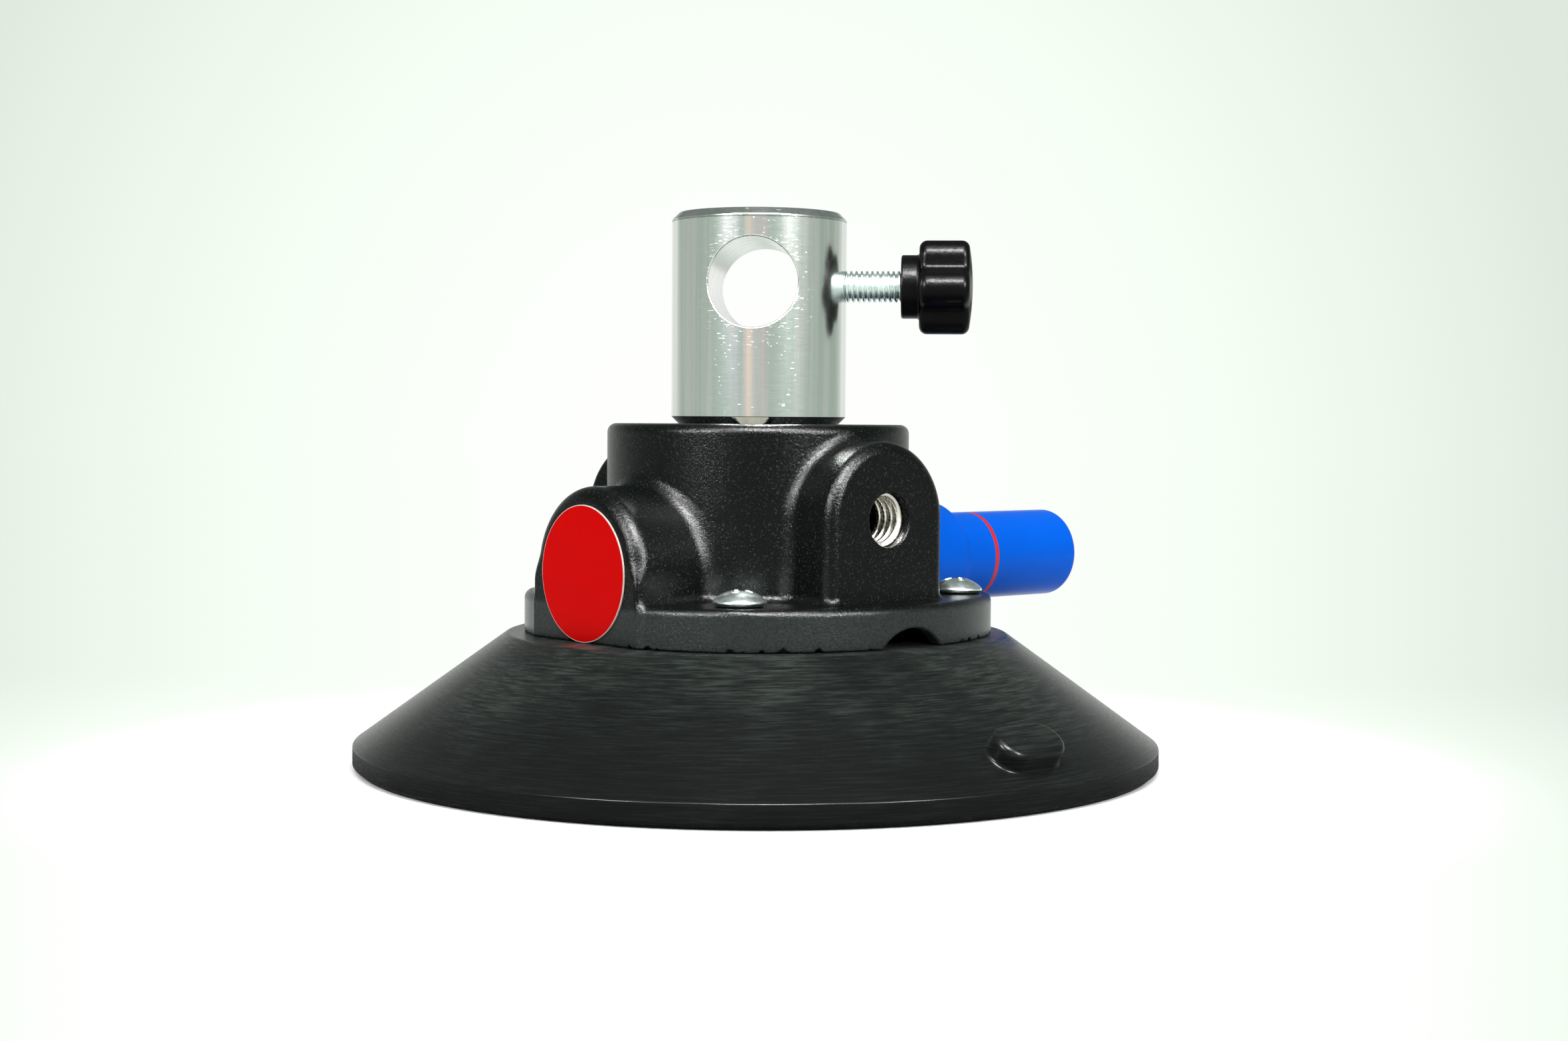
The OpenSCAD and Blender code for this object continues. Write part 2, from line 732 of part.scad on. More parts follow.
module plunger_spring() {
    sides = 6;
    rings = 14 * spring_turns;
    points = [for (i = [0 : rings]) each wire_ring(i / rings, sides)];
    walls = [for (i = [0 : rings - 1], k = [0 : sides - 1])
        let (a = i * sides + k, b = i * sides + (k + 1) % sides)
        each [[a, a + sides, b], [b, a + sides, b + sides]]];
    first_cap = [for (k = [0 : sides - 1]) k];
    last_cap = [for (k = [sides - 1 : -1 : 0]) rings * sides + k];
    color(steel_color) polyhedron(points, concat(walls, [first_cap, last_cap]));
}

module stop_pin() {
    color(steel_color)
        translate([stop_pin_x, 0, register_z])
            cylinder(h = bore_floor_z + stop_pin_in - register_z, d = stop_pin_d);
}

// Valve, from the plate down into the pad

module valve_body() {
    color(steel_color)
        difference() {
            union() {
                translate([0, 0, valve_head_z])
                    chamfered_bar(valve_head_d / 2, valve_head_t, foot = valve_head_c);
                translate([0, 0, valve_head_z]) cylinder(h = plate_top_z - valve_head_z, d = valve_neck_d);
            }
            translate([0, 0, flap_z]) cylinder(h = valve_chamber_h + over, d = valve_chamber_d);
            translate([0, 0, valve_head_z - over])
                cylinder(h = flap_z - valve_head_z + over, d = valve_pocket_d);
        }
}

module valve_seat() {
    color(blue_color)
        difference() {
            translate([0, 0, seat_z]) cylinder(h = seat_t, r = pocket_fill_r);
            translate([0, 0, seat_z - over]) cylinder(h = seat_t + 2 * over, r = flap_stem_d / 2 + seat_fit);
            for (turn = [0 : 60 : 300])
                rotate([0, 0, turn])
                    translate([0.32 * flap_d, 0, seat_z - over])
                        cylinder(h = seat_t + 2 * over, d = seat_hole_d);
        }
}

module check_valve() {
    color(rubber_color) {
        translate([0, 0, flap_z]) cylinder(h = flap_t, d = flap_d);
        translate([0, 0, seat_z - over / 2]) cylinder(h = seat_t + over, d = flap_stem_d);
        translate([0, 0, seat_z - flap_bulb_l]) cylinder(h = flap_bulb_l, d = flap_bulb_d);
    }
}

module filter_disc() {
    color("#8f9296")
        difference() {
            translate([0, 0, filter_z]) cylinder(h = filter_t, r = pocket_fill_r);
            translate([0, 0, filter_z - over]) cylinder(h = filter_t + 2 * over, d = filter_hole_d);
        }
}

module filter_cap() {
    color(casting_color)
        difference() {
            translate([0, 0, filter_z - cap_t]) cylinder(h = cap_t, r = pocket_fill_r);
            translate([0, 0, filter_z - cap_t - over]) cylinder(h = cap_t + 2 * over, d = cap_hole_d);
            for (turn = [0 : 60 : 300])
                rotate([0, 0, turn])
                    translate([0.6 * pocket_fill_r, 0, filter_z - cap_t - over])
                        cylinder(h = cap_t + 2 * over, d = cap_hole_d);
        }
}

// Spigot socket and its clamp

module adapter_stud() {
    color(steel_color)
        translate([0, 0, stud_foot_z])
            chamfered_bar(thread_d / 2, stud_top_z - stud_foot_z, top = stud_c, foot = stud_c);
}

module spigot_socket() {
    color(aluminium_color)
        difference() {
            translate([0, 0, drum_top_z])
                chamfered_bar(socket_r, socket_h, top = socket_top_c, foot = socket_foot_c);
            along_spigot() translate([0, 0, -socket_d]) cylinder(h = 2 * socket_d, d = spigot_bore_d);
            along_clamp() cylinder(h = socket_d, r = clamp_d / 2 + clamp_fit);
            translate([0, 0, drum_top_z - over]) cylinder(h = socket_tap_l + over, r = insert_hole_r);
            rotate([0, 0, spigot_turn])
                translate([0, -socket_r + notch_l, drum_top_z])
                    along_front()
                        linear_extrude(2 * notch_l)
                            polygon([[-notch_w / 2, notch_h], [notch_w / 2, notch_h],
                                     [notch_w / 2 - notch_h - over, -over],
                                     [notch_h + over - notch_w / 2, -over]]);
        }
}

module clamp_screw() {
    color(steel_color)
        along_clamp()
            translate([0, 0, clamp_tip_r])
                chamfered_bar(clamp_d / 2, hub_r_from_axis + knob_socket_l - clamp_tip_r, foot = clamp_tip_c);
}

module knob_plan() {
    circle(d = 0.72 * knob_d);
    for (i = [0 : knob_lobes - 1])
        rotate(knob_turn + i * 360 / knob_lobes) translate([(knob_d - lobe_d) / 2, 0]) circle(d = lobe_d);
}

module clamp_knob() {
    color(rubber_color)
        along_clamp()
            difference() {
                union() {
                    translate([0, 0, hub_r_from_axis]) cylinder(h = hub_l + over, d = hub_d);
                    translate([0, 0, knob_x])
                        intersection() {
                            linear_extrude(knob_l) knob_plan();
                            bar(knob_d / 2, knob_l, top = knob_edge_r, foot = knob_edge_r);
                        }
                }
                translate([0, 0, hub_r_from_axis - over])
                    cylinder(h = knob_socket_l + over + clamp_fit, r = clamp_d / 2 + clamp_fit);
            }
}

vacuum_pad();
backing_plate();
face_gasket();
pump_housing();
flange_screws();
label_disc();
thread_insert_front();
thread_insert_rear();
thread_insert_top();
plunger();
indicator_ring();
piston_seal();
plunger_spring();
stop_pin();
valve_body();
valve_seat();
check_valve();
filter_disc();
filter_cap();
adapter_stud();
spigot_socket();
clamp_screw();
clamp_knob();
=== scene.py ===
# %% [markdown]
# # Dressing a hand-pump vacuum cup
#
# The part is a rubber cup with a pump in a black casting on top of it and an aluminium socket on top of
# that. The frame holds every piece at its real size and place, so nothing is fitted here. What is left to
# do is the finish: soft casting fillets, true threads, polished metal, rubber that has been wiped by
# hand.

# %% Load the fixed frame
import json
import math

import bpy
import numpy as np
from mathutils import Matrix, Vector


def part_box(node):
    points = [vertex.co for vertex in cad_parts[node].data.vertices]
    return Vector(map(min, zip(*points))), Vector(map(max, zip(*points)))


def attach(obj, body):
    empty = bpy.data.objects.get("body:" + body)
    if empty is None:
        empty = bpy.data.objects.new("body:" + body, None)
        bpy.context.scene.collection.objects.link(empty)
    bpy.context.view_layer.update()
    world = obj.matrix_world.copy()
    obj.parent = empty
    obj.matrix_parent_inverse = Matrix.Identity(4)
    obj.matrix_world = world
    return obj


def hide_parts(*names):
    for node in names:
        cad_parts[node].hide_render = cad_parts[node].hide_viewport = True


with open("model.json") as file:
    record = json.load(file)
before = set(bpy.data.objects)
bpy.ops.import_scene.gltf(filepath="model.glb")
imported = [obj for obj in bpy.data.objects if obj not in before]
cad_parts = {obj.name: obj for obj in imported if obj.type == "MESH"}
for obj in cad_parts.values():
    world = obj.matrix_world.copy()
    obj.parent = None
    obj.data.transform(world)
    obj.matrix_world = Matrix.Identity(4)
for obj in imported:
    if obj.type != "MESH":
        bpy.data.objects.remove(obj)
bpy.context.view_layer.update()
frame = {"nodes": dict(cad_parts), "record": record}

import openvdb
from mathutils import Matrix, Vector

MM = 0.001

# %% [markdown]
# ## Where the camera stands
#
# Everything that follows is judged through one lens, so the camera comes first. It looks at the cup from
# low down, past the closed end of the pump, with the front threaded boss facing right of centre.

# %% The camera
PICTURE_WIDTH = 2362
FOCAL_PIXELS = 3442
SENSOR_WIDTH = 36.0
CAMERA_AT = Vector((-0.2823, -0.3324, 0.0656))
CAMERA_HEADING = math.radians(49.0)
CAMERA_DIP = math.radians(2.559)
CAMERA_ROLL = math.radians(0.385)

lens = bpy.data.cameras.new("studio_camera")
lens.sensor_width = SENSOR_WIDTH
lens.lens = FOCAL_PIXELS / PICTURE_WIDTH * SENSOR_WIDTH
lens.clip_start = 0.01
camera = bpy.data.objects.new("studio_camera", lens)
bpy.context.scene.collection.objects.link(camera)
forward = Vector((
    math.cos(CAMERA_HEADING) * math.cos(CAMERA_DIP),
    math.sin(CAMERA_HEADING) * math.cos(CAMERA_DIP),
    -math.sin(CAMERA_DIP),
))
aim = forward.to_track_quat("-Z", "Y").to_matrix() @ Matrix.Rotation(CAMERA_ROLL, 3, "Z")
camera.matrix_world = Matrix.Translation(CAMERA_AT) @ aim.to_4x4()
bpy.context.scene.camera = camera
bpy.context.scene.view_settings.view_transform = "Standard"
print("lens", round(lens.lens, 1), "mm at", tuple(round(v, 3) for v in CAMERA_AT))

# %% [markdown]
# ## Shader maths that reads like arithmetic
#
# A procedural finish is arithmetic on textures. Wired by hand it is a page of Math nodes that nobody can
# read. One small class wraps an output socket, so that `1 - mask` adds the node by itself, and one method
# adds every other node.


# %% A socket that can be used in an expression
class Wire:
    """An output socket. Arithmetic on it adds a Math node and gives that node's output."""

    def __init__(self, nodes, socket):
        self.nodes = nodes
        self.socket = socket

    def math(self, operation, *operands):
        return self.nodes.add("Math", {"operation": operation}, dict(enumerate(operands)))

    def __add__(self, other):
        return self.math("ADD", self, other)

    def __sub__(self, other):
        return self.math("SUBTRACT", self, other)

    def __rsub__(self, other):
        return self.math("SUBTRACT", other, self)

    def __mul__(self, other):
        return self.math("MULTIPLY", self, other)

    def __truediv__(self, other):
        return self.math("DIVIDE", self, other)

    def __pow__(self, other):
        return self.math("POWER", self, other)

    __radd__ = __add__
    __rmul__ = __mul__


class Nodes:
    """The node tree of one material or of the world."""

    def __init__(self, owner):
        owner.use_nodes = True
        self.tree = owner.node_tree
        self.tree.nodes.clear()

    def add(self, kind, settings=None, values=None, output=0):
        """Adds a node. Its settings go first, because they can change which sockets it has."""
        node = self.tree.nodes.new("ShaderNode" + kind)
        for name, setting in (settings or {}).items():
            setattr(node, name, setting)
        for key, value in (values or {}).items():
            if isinstance(value, Wire):
                self.tree.links.new(value.socket, node.inputs[key])
            else:
                node.inputs[key].default_value = value
        return Wire(self, node.outputs[output]) if node.outputs else None

    def mix(self, factor, first, second):
        """Blends two colours. A Math node would turn them grey."""
        return self.add("Mix", {"data_type": "RGBA"}, {0: factor, 6: first, 7: second}, 2)

    def step(self, value, low, high):
        """0 below low, 1 above high and a smooth rise between them."""
        settings = {"interpolation_type": "SMOOTHSTEP"}
        return self.add("MapRange", settings, {"Value": value, "From Min": low, "From Max": high})

    def noise(self, place, scale, detail=2.0, roughness=0.5):
        values = {"Vector": place, "Scale": scale, "Detail": detail, "Roughness": roughness}
        return self.add("TexNoise", None, values)

    def place(self, stretch=(1.0, 1.0, 1.0)):
        """The shaded point, in millimetres in the piece's axes. A small stretch draws noise out along one."""
        point = self.add("TexCoord", output="Object")
        factors = tuple(s / MM for s in stretch)
        return self.add("VectorMath", {"operation": "MULTIPLY"}, {0: point, 1: factors})

    def split(self, vector):
        axes = self.add("SeparateXYZ", None, {0: vector})
        outputs = axes.socket.node.outputs
        return tuple(Wire(self, socket) for socket in outputs)


# %% [markdown]
# ## From numbers to a finish
#
# Nearly every surface here is one Principled shader. What differs is its colour, how rough it is and what
# roughens it, so a finish is a function that fills in those three and leaves the rest to this helper.
# Finishes are kept by the slot that the record names for them, because that is how the frame's own pieces
# ask for theirs.


# %% A finish from one Principled shader
FINISHES = {}


def grey(value):
    return (value, value, value, 1)


def finish(slot, name, paint):
    """Makes the material of a slot. paint(nodes) gives the Principled shader's values by socket name."""
    made = bpy.data.materials.new(name)
    nodes = Nodes(made)
    shader = nodes.add("BsdfPrincipled", None, paint(nodes))
    nodes.add("OutputMaterial", None, {"Surface": shader})
    FINISHES[slot] = made
    print("finish", name, "uses", len(nodes.tree.nodes), "nodes")


def bump(nodes, height, relief):
    """Turns a height, about 0 to 1, into a normal. relief says how many millimetres a height of 1 is."""
    values = {"Height": height, "Distance": relief * MM, "Strength": 1.0}
    return nodes.add("Bump", None, values)


# %% Places that a finish and a shape share, in millimetres
BARREL_Z = 37.5
BORE_Z = 90.6
DISC_R = 12.4
DIAGONAL = math.sqrt(0.5)
print("pump axis at", BARREL_Z, "and cross bore at", BORE_Z, "above the gripped surface")


# %% [markdown]
# ## Powder coat on the casting
#
# The housing is a die casting with a fine-textured satin coat. Three things sell it. A grain of about
# half a millimetre breaks every highlight into sparkles. Pale specks among it are painted glints that
# stand in for those sparkles, and show even where no lamp catches it. And the flange's outer wall is a
# paler, grainy grey.


# %% The casting's coat
COAT_DARK, COAT_WORN = (0.0012, 0.0018, 0.0015, 1), (0.0034, 0.0044, 0.0038, 1)
# The second pair is the flange wall's paler grey and the pale tone of the painted glints.
COAT_PALE_WALL, COAT_PAINTED_GLINT = (0.030, 0.036, 0.034, 1), (0.030, 0.036, 0.033, 1)
PALE_FROM, PALE_FULLY = 40.2, 41.6
PALE_UP_TO, PLAIN_FROM = 31.2, 32.4


def coat_paint(nodes):
    place = nodes.place()
    x, y, z = nodes.split(place)
    grain = nodes.noise(place, scale=2.2, detail=3.0, roughness=0.65)
    fine = nodes.noise(place, scale=6.0, detail=1.0)
    cloud = nodes.noise(place, scale=0.06, detail=2.0)
    from_axis = (x * x + y * y)**0.5
    # The flange's outer wall, up to just under its top, is mixed to a paler grey, mottled by the grain.
    edge = nodes.step(from_axis, PALE_FROM, PALE_FULLY) * (1 - nodes.step(z, PALE_UP_TO, PLAIN_FROM))
    pale_mottle = edge * (0.55 + 0.45 * nodes.step(grain, 0.35, 0.65))
    # Painted glints: pale specks mixed into the colour in place of the grain's sparkles.
    painted_glints = nodes.step(nodes.noise(place, scale=2.4, detail=2.0), 0.58, 0.70)
    colour = nodes.mix(cloud, COAT_DARK, COAT_WORN)
    colour = nodes.mix(pale_mottle, colour, COAT_PALE_WALL)
    colour = nodes.mix(0.6 * painted_glints, colour, COAT_PAINTED_GLINT)
    return {
        "Base Color": colour,
        "Roughness": 0.16 + 0.12 * fine,
        "Normal": bump(nodes, grain + 0.35 * fine, relief=0.085),
        "Specular IOR Level": 0.10,
    }


finish("black_casting", "black_powder_coat", coat_paint)

# %% [markdown]
# ## Rubber that has been handled
#
# Moulded black rubber blooms grey and shows every wipe of a hand. The streaks run round the cup, so the
# noise is looked up on a circle of constant size: that stretches it along the turn and leaves no seam.
# The upper slope's streaks are painted paler than the lip's, a painted sheen, and some patches more than
# others.


# %% The pad's rubber
# Clean rubber, and the grey of bloom that is also the painted sheen on the upper slope.
RUBBER_CLEAN, RUBBER_BLOOM_AND_SHEEN = (0.005, 0.006, 0.0054, 1), (0.041, 0.050, 0.045, 1)
STREAK_CIRCLE_R = 3.4
STREAK_RISE = 1.5
STREAK_SLANT = 0.6


def rubber_paint(nodes):
    place = nodes.place()
    x, y, z = nodes.split(place)
    radius = (x * x + y * y)**0.5
    turn_x = x / radius * STREAK_CIRCLE_R
    turn_y = y / radius * STREAK_CIRCLE_R
    climb = z * STREAK_RISE + turn_y * STREAK_SLANT
    around = nodes.add("CombineXYZ", None, {0: turn_x, 1: turn_y, 2: climb})
    streaks = nodes.noise(around, scale=2.4, detail=5.0, roughness=0.66)
    smears = nodes.step(streaks, 0.32, 0.80)
    patches = nodes.step(nodes.noise(place, scale=0.045, detail=3.0), 0.40, 0.66)
    # Painted sheen: the cone's upper slope is made paler, as if it caught more light.
    painted_top_sheen = nodes.step(z, 6.0, 20.0)
    bloom_and_top_sheen = smears * (0.3 + 0.7 * patches) * (0.2 + 0.8 * painted_top_sheen)
    grain = nodes.noise(place, scale=3.0, detail=2.0)
    return {
        "Base Color": nodes.mix(bloom_and_top_sheen, RUBBER_CLEAN, RUBBER_BLOOM_AND_SHEEN),
        "Roughness": 0.22 + 0.10 * streaks,
        "Normal": bump(nodes, grain + streaks, relief=0.012),
        "Specular IOR Level": 0.06,
        "Sheen Weight": 0.08,
        "Sheen Roughness": 0.35,
    }


finish("pad_rubber", "moulded_pad_rubber", rubber_paint)


def seal_paint(nodes):
    pale_mottle = nodes.noise(nodes.place(), scale=1.5, detail=3.0)
    return {
        "Base Color": nodes.mix(pale_mottle, grey(0.012), grey(0.03)),
        "Roughness": 0.4 + 0.15 * pale_mottle,
        "Normal": bump(nodes, pale_mottle, relief=0.01),
    }


finish("seal_rubber", "smooth_seal_rubber", seal_paint)

# %% [markdown]
# ## Metals
#
# The socket is turned and polished aluminium: a mirror with fine rings from the lathe and short
# scratches, most of them round the cross bore, where spigots miss their hole. Faint green and pink bands
# run up it, painted reflections of the room. The screws are zinc plated, softer and a little blue.


# %% Polished aluminium
# The green is the metal's tint and also a painted green reflection; the pink is a painted reflection.
GREEN_TINT_AND_REFLECTION, PINK_REFLECTION, METAL_WORN = (0.57, 0.63, 0.585, 1), (0.78, 0.75, 0.76, 1), (0.71, 0.74, 0.72, 1)
RUBBED_UP_TO, UNTOUCHED_FROM = 9.0, 15.0


def aluminium_paint(nodes):
    rings = nodes.noise(nodes.place((0.05, 0.05, 1.0)), scale=9.0, detail=3.0, roughness=0.6)
    worn = nodes.noise(nodes.place((1.0, 1.0, 0.35)), scale=0.16, detail=3.0)
    lines = nodes.noise(nodes.place((0.55, 0.55, 7.0)), scale=1.0, detail=2.0, roughness=0.5)
    x, y, z = nodes.split(nodes.place())
    aside = (x - y) * DIAGONAL
    above = z - BORE_Z
    from_bore = (aside * aside + above * above)**0.5
    rubbed = 1 - nodes.step(from_bore, RUBBED_UP_TO, UNTOUCHED_FROM)
    scratch = nodes.step(lines + 0.065 * rubbed, 0.70, 0.82)
    pits = nodes.step(nodes.noise(nodes.place(), scale=2.6, detail=1.0), 0.76, 0.82)
    # Painted reflections: vertical green and pink bands of the room, mixed into the metal's colour.
    reflection_band_noise = nodes.noise(nodes.place((1.0, 1.0, 0.02)), scale=0.45, detail=3.0)
    painted_reflection_bands = nodes.step(reflection_band_noise, 0.38, 0.62)
    metal = nodes.mix(painted_reflection_bands, GREEN_TINT_AND_REFLECTION, PINK_REFLECTION)
    return {
        "Base Color": nodes.mix(0.4 * worn, metal, METAL_WORN),
        "Metallic": 1.0,
        "Roughness": 0.12 + 0.08 * rings + 0.14 * scratch,
        "Normal": bump(nodes, rings * 0.10 + scratch * 0.28 + pits * 0.15, relief=0.03),
    }


finish("socket_aluminium", "polished_aluminium", aluminium_paint)


# %% Zinc plate, insert wire and spring steel
ZINC_DULL, ZINC_BRIGHT = (0.54, 0.62, 0.61, 1), (0.72, 0.78, 0.76, 1)
WIRE_DULL, WIRE_BRIGHT = (0.62, 0.60, 0.54, 1), (0.80, 0.78, 0.72, 1)


def zinc_paint(nodes):
    mottle = nodes.noise(nodes.place(), scale=0.9, detail=3.0)
    return {
        "Base Color": nodes.mix(mottle, ZINC_DULL, ZINC_BRIGHT),
        "Metallic": 1.0,
        "Roughness": 0.17 + 0.14 * mottle,
        "Normal": bump(nodes, mottle, relief=0.02),
    }


finish("zinc_steel", "bright_zinc_plate", zinc_paint)


def wire_paint(nodes):
    drawn = nodes.noise(nodes.place(), scale=2.0, detail=2.0)
    return {
        "Base Color": nodes.mix(drawn, WIRE_DULL, WIRE_BRIGHT),
        "Metallic": 1.0,
        "Roughness": 0.2 + 0.14 * drawn,
        "Normal": bump(nodes, drawn, relief=0.01),
    }


finish("insert_steel", "stainless_insert_wire", wire_paint)


def spring_paint(nodes):
    drawn = nodes.noise(nodes.place(), scale=1.2, detail=2.0)
    return {
        "Base Color": nodes.mix(drawn, grey(0.35), grey(0.55)),
        "Metallic": 1.0,
        "Roughness": 0.3 + 0.12 * drawn,
    }


finish("spring_steel", "plain_spring_steel", spring_paint)

# %% [markdown]
# ## Plastics, vinyl and felt
#
# The plunger is a glossy moulding in a strong blue. Gloss plastic is a coloured body under a clear skin,
# so its own colour stays nearly flat. The skin is a weak one here, because lamps that make metal glint
# would bleach the blue. The disc is red vinyl, which is pale right through where it was cut.


# %% Coloured and black plastics
def gloss_paint(low, high, roughness, relief, skin_strength):
    def paint(nodes):
        place = nodes.place()
        flow = nodes.noise(place, scale=0.12, detail=2.0)
        skin = nodes.noise(place, scale=1.6, detail=2.0)
        return {
            "Base Color": nodes.mix(flow, low, high),
            "Roughness": roughness + 0.08 * skin,
            "Normal": bump(nodes, skin, relief),
            "Specular IOR Level": skin_strength,
        }

    return paint


BLUE = (0.0, 0.088, 0.56, 1), (0.0, 0.10, 0.62, 1)
RING_RED = (0.50, 0.004, 0.003, 1), (0.58, 0.008, 0.006, 1)
KNOB_BLACK = (0.0015, 0.0016, 0.0015, 1), (0.003, 0.003, 0.003, 1)
finish("blue_plastic", "blue_moulding", gloss_paint(*BLUE, roughness=0.2, relief=0.01, skin_strength=0.05))
finish("red_plastic", "red_ring", gloss_paint(*RING_RED, roughness=0.3, relief=0.01, skin_strength=0.3))
finish("knob_plastic", "black_moulding",
       gloss_paint(*KNOB_BLACK, roughness=0.26, relief=0.04, skin_strength=0.05))

# %% Red vinyl and grey felt
VINYL_RED, CUT_EDGE = (0.54, 0.0, 0.0, 1), (0.60, 0.50, 0.46, 1)
CUT_EDGE_WIDTH, CUT_EDGE_BLUR = 0.20, 0.08


def vinyl_paint(nodes):
    x, y, z = nodes.split(nodes.place())
    up = z - BARREL_Z
    from_centre = (y * y + up * up)**0.5
    inner = DISC_R - CUT_EDGE_WIDTH
    cut_edge = nodes.step(from_centre, inner, inner + CUT_EDGE_BLUR)
    return {
        "Base Color": nodes.mix(cut_edge, VINYL_RED, CUT_EDGE),
        "Roughness": 0.25,
        "Specular IOR Level": 0.02,
    }


finish("red_vinyl", "red_vinyl", vinyl_paint)


def felt_paint(nodes):
    fibres = nodes.noise(nodes.place((1.0, 1.0, 0.3)), scale=3.0, detail=4.0, roughness=0.7)
    return {
        "Base Color": nodes.mix(fibres, grey(0.25), grey(0.6)),
        "Roughness": 0.9,
        "Normal": bump(nodes, fibres, relief=0.2),
    }


finish("filter_felt", "grey_filter_felt", felt_paint)

# %% The frame's own pieces get the finish of their slot
for part in frame["record"]["subparts"]:
    node = frame["nodes"][part["node"]]
    node.data.materials.clear()
    node.data.materials.append(FINISHES[part["material_slot"]])

# %% [markdown]
# ## The casting as a distance field
#
# A casting has no sharp inside corner: wherever two bosses meet, the pattern maker ran a fillet.
# Bevelling a boolean of cylinders breaks down where three of them meet. A distance field doesn't: each
# form is a number that says how far a point lies from it, and joining two of them with a rounded minimum
# leaves the fillet behind.


# %% Rounded unions and cuts
def meet(first, second, edge):
    """Where both solids are, with their shared outside edge rounded."""
    a = first + edge
    b = second + edge
    return np.minimum(np.maximum(a, b), 0) + np.hypot(np.maximum(a, 0), np.maximum(b, 0)) - edge


def join(first, second, fillet):
    """Either solid, with a fillet in the corner between them."""
    a = np.maximum(fillet - first, 0)
    b = np.maximum(fillet - second, 0)
    return np.maximum(fillet, np.minimum(first, second)) - np.hypot(a, b)


def cut(solid, tool, edge):
    return meet(solid, -tool, edge)


def ramp(value, low, high):
    """0 below low, 1 above high and a smooth rise between them."""
    share = np.clip((value - low) / (high - low), 0, 1)
    return share * share * (3 - 2 * share)


def ripple(x, y, size, seed):
    """Smooth random values from 0 to 1 over a plane, in patches of about this size."""
    lattice = np.random.default_rng(seed).random((128, 128)).astype(np.float32)
    u, v = np.broadcast_arrays(x / size + 64, y / size + 64)
    i, j = np.floor(u).astype(int), np.floor(v).astype(int)
    s, t = ramp(u - i, 0, 1), ramp(v - j, 0, 1)
    i, j = i % 127, j % 127
    near = lattice[i, j] * (1 - s) + lattice[i + 1, j] * s
    far = lattice[i, j + 1] * (1 - s) + lattice[i + 1, j + 1] * s
    return near * (1 - t) + far * t


# %% Driving sizes of the casting, in millimetres
def box_mm(name):
    low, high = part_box(name)
    return np.array(low) / MM, np.array(high) / MM


housing_low, housing_high = box_mm("pump_housing")
insert_low, insert_high = box_mm("thread_insert_front")
print("housing from", housing_low.round(2), "to", housing_high.round(2))

DRUM_R, DRUM_EDGE = 28.7, 1.7
DRUM_TOP = housing_high[2]
FLANGE_FOOT, FLANGE_TOP = 25.0, 32.7
FLANGE_MID_R, FLANGE_CORNER_R = 43.15, 44.75
FLANGE_EDGE, FLANGE_CORNER_EDGE = 1.5, 0.7
BARREL_R, BARREL_END = 15.7, 41.0
MOUTH_X, MOUTH_EDGE = 33.0, 3.0
END_EDGE_BELOW, END_EDGE_ADDED = 0.8, 2.2
ARCH_R, ARCH_END, ARCH_EDGE = 14.1, 36.5, 2.4
ARCH_Z = (insert_low[2] + insert_high[2]) / 2
BARREL_FILLET, ARCH_FILLET, FLANGE_FILLET = 2.4, 2.1, 1.5
REGISTER_R, REGISTER_OVERLAP = 34.05, 1
CHIP_DEPTH, CHIP_SIZE, CHIP_GRAIN = 0.7, 1.9, 0.8
FOOT_EDGE, FOOT_LIFT = 0.3, 0.12


# %% The casting's outside
def chipped_foot(x, y, z):
    """The flange's lower face, with small chips broken out of its edge here and there."""
    rough = ripple(x, y, CHIP_SIZE, 3) + 0.4 * ripple(x, y, CHIP_GRAIN, 4)
    return FLANGE_FOOT + FOOT_LIFT + CHIP_DEPTH * ramp(rough, 0.85, 1.35) - z


def casting_outside(x, y, z):
    radius = np.hypot(x, y)
    drum = meet(radius - DRUM_R, z - DRUM_TOP, DRUM_EDGE)

    side = FLANGE_CORNER_R / math.sqrt(2)
    shift = (FLANGE_CORNER_R**2 - FLANGE_MID_R**2) / (2 * (FLANGE_MID_R - side))
    arc_r = FLANGE_MID_R + shift
    wide, deep = np.hypot(abs(x) + shift, y) - arc_r, np.hypot(x, abs(y) + shift) - arc_r
    flange = meet(meet(wide, deep, FLANGE_CORNER_EDGE), z - FLANGE_TOP, FLANGE_EDGE)

    barrel = np.hypot(y, np.maximum(z - BARREL_Z, 0)) - BARREL_R
    barrel = meet(barrel, x - MOUTH_X, MOUTH_EDGE)
    arch = np.hypot(x, np.maximum(z - ARCH_Z, 0)) - ARCH_R
    boss = meet(arch, abs(y) - ARCH_END, ARCH_EDGE)

    body = join(drum, barrel, BARREL_FILLET)
    body = join(body, boss, ARCH_FILLET)
    body = join(flange, body, FLANGE_FILLET)

    end_edge = END_EDGE_BELOW + END_EDGE_ADDED * ramp(z, BARREL_Z - 2.0, BARREL_Z + 3.5)
    body = meet(body, -x - BARREL_END, end_edge)
    body = meet(body, chipped_foot(x, y, z), FOOT_EDGE)
    register = np.maximum(radius - REGISTER_R, housing_low[2] - z)
    register = np.maximum(register, z - FLANGE_FOOT - REGISTER_OVERLAP)
    return np.minimum(body, register)


# %% The casting's bores and holes
PUMP_BORE_R, PUMP_BORE_X, PUMP_BORE_EDGE = 11.35, -35.0, 0.7
SIDE_HOLE_R, SIDE_HOLE_Y = 4.87, 23.7
COIL_SEAT_R, COIL_SEAT_Y, COIL_SEAT_HALF = 5.12, 31.7, 4.05
TOP_HOLE_R, TOP_HOLE_DEPTH = 5.15, 12.3
SCREW_R, SCREW_HOLE_R = 38.05, 2.65
SCREW_XY = SCREW_R / math.sqrt(2)
VENT_R, VENT_Z, VENT_Y = 8.6, 20.0, 34.15
SMALL_HOLE_EDGE, WIDE_HOLE_EDGE = 0.3, 0.5


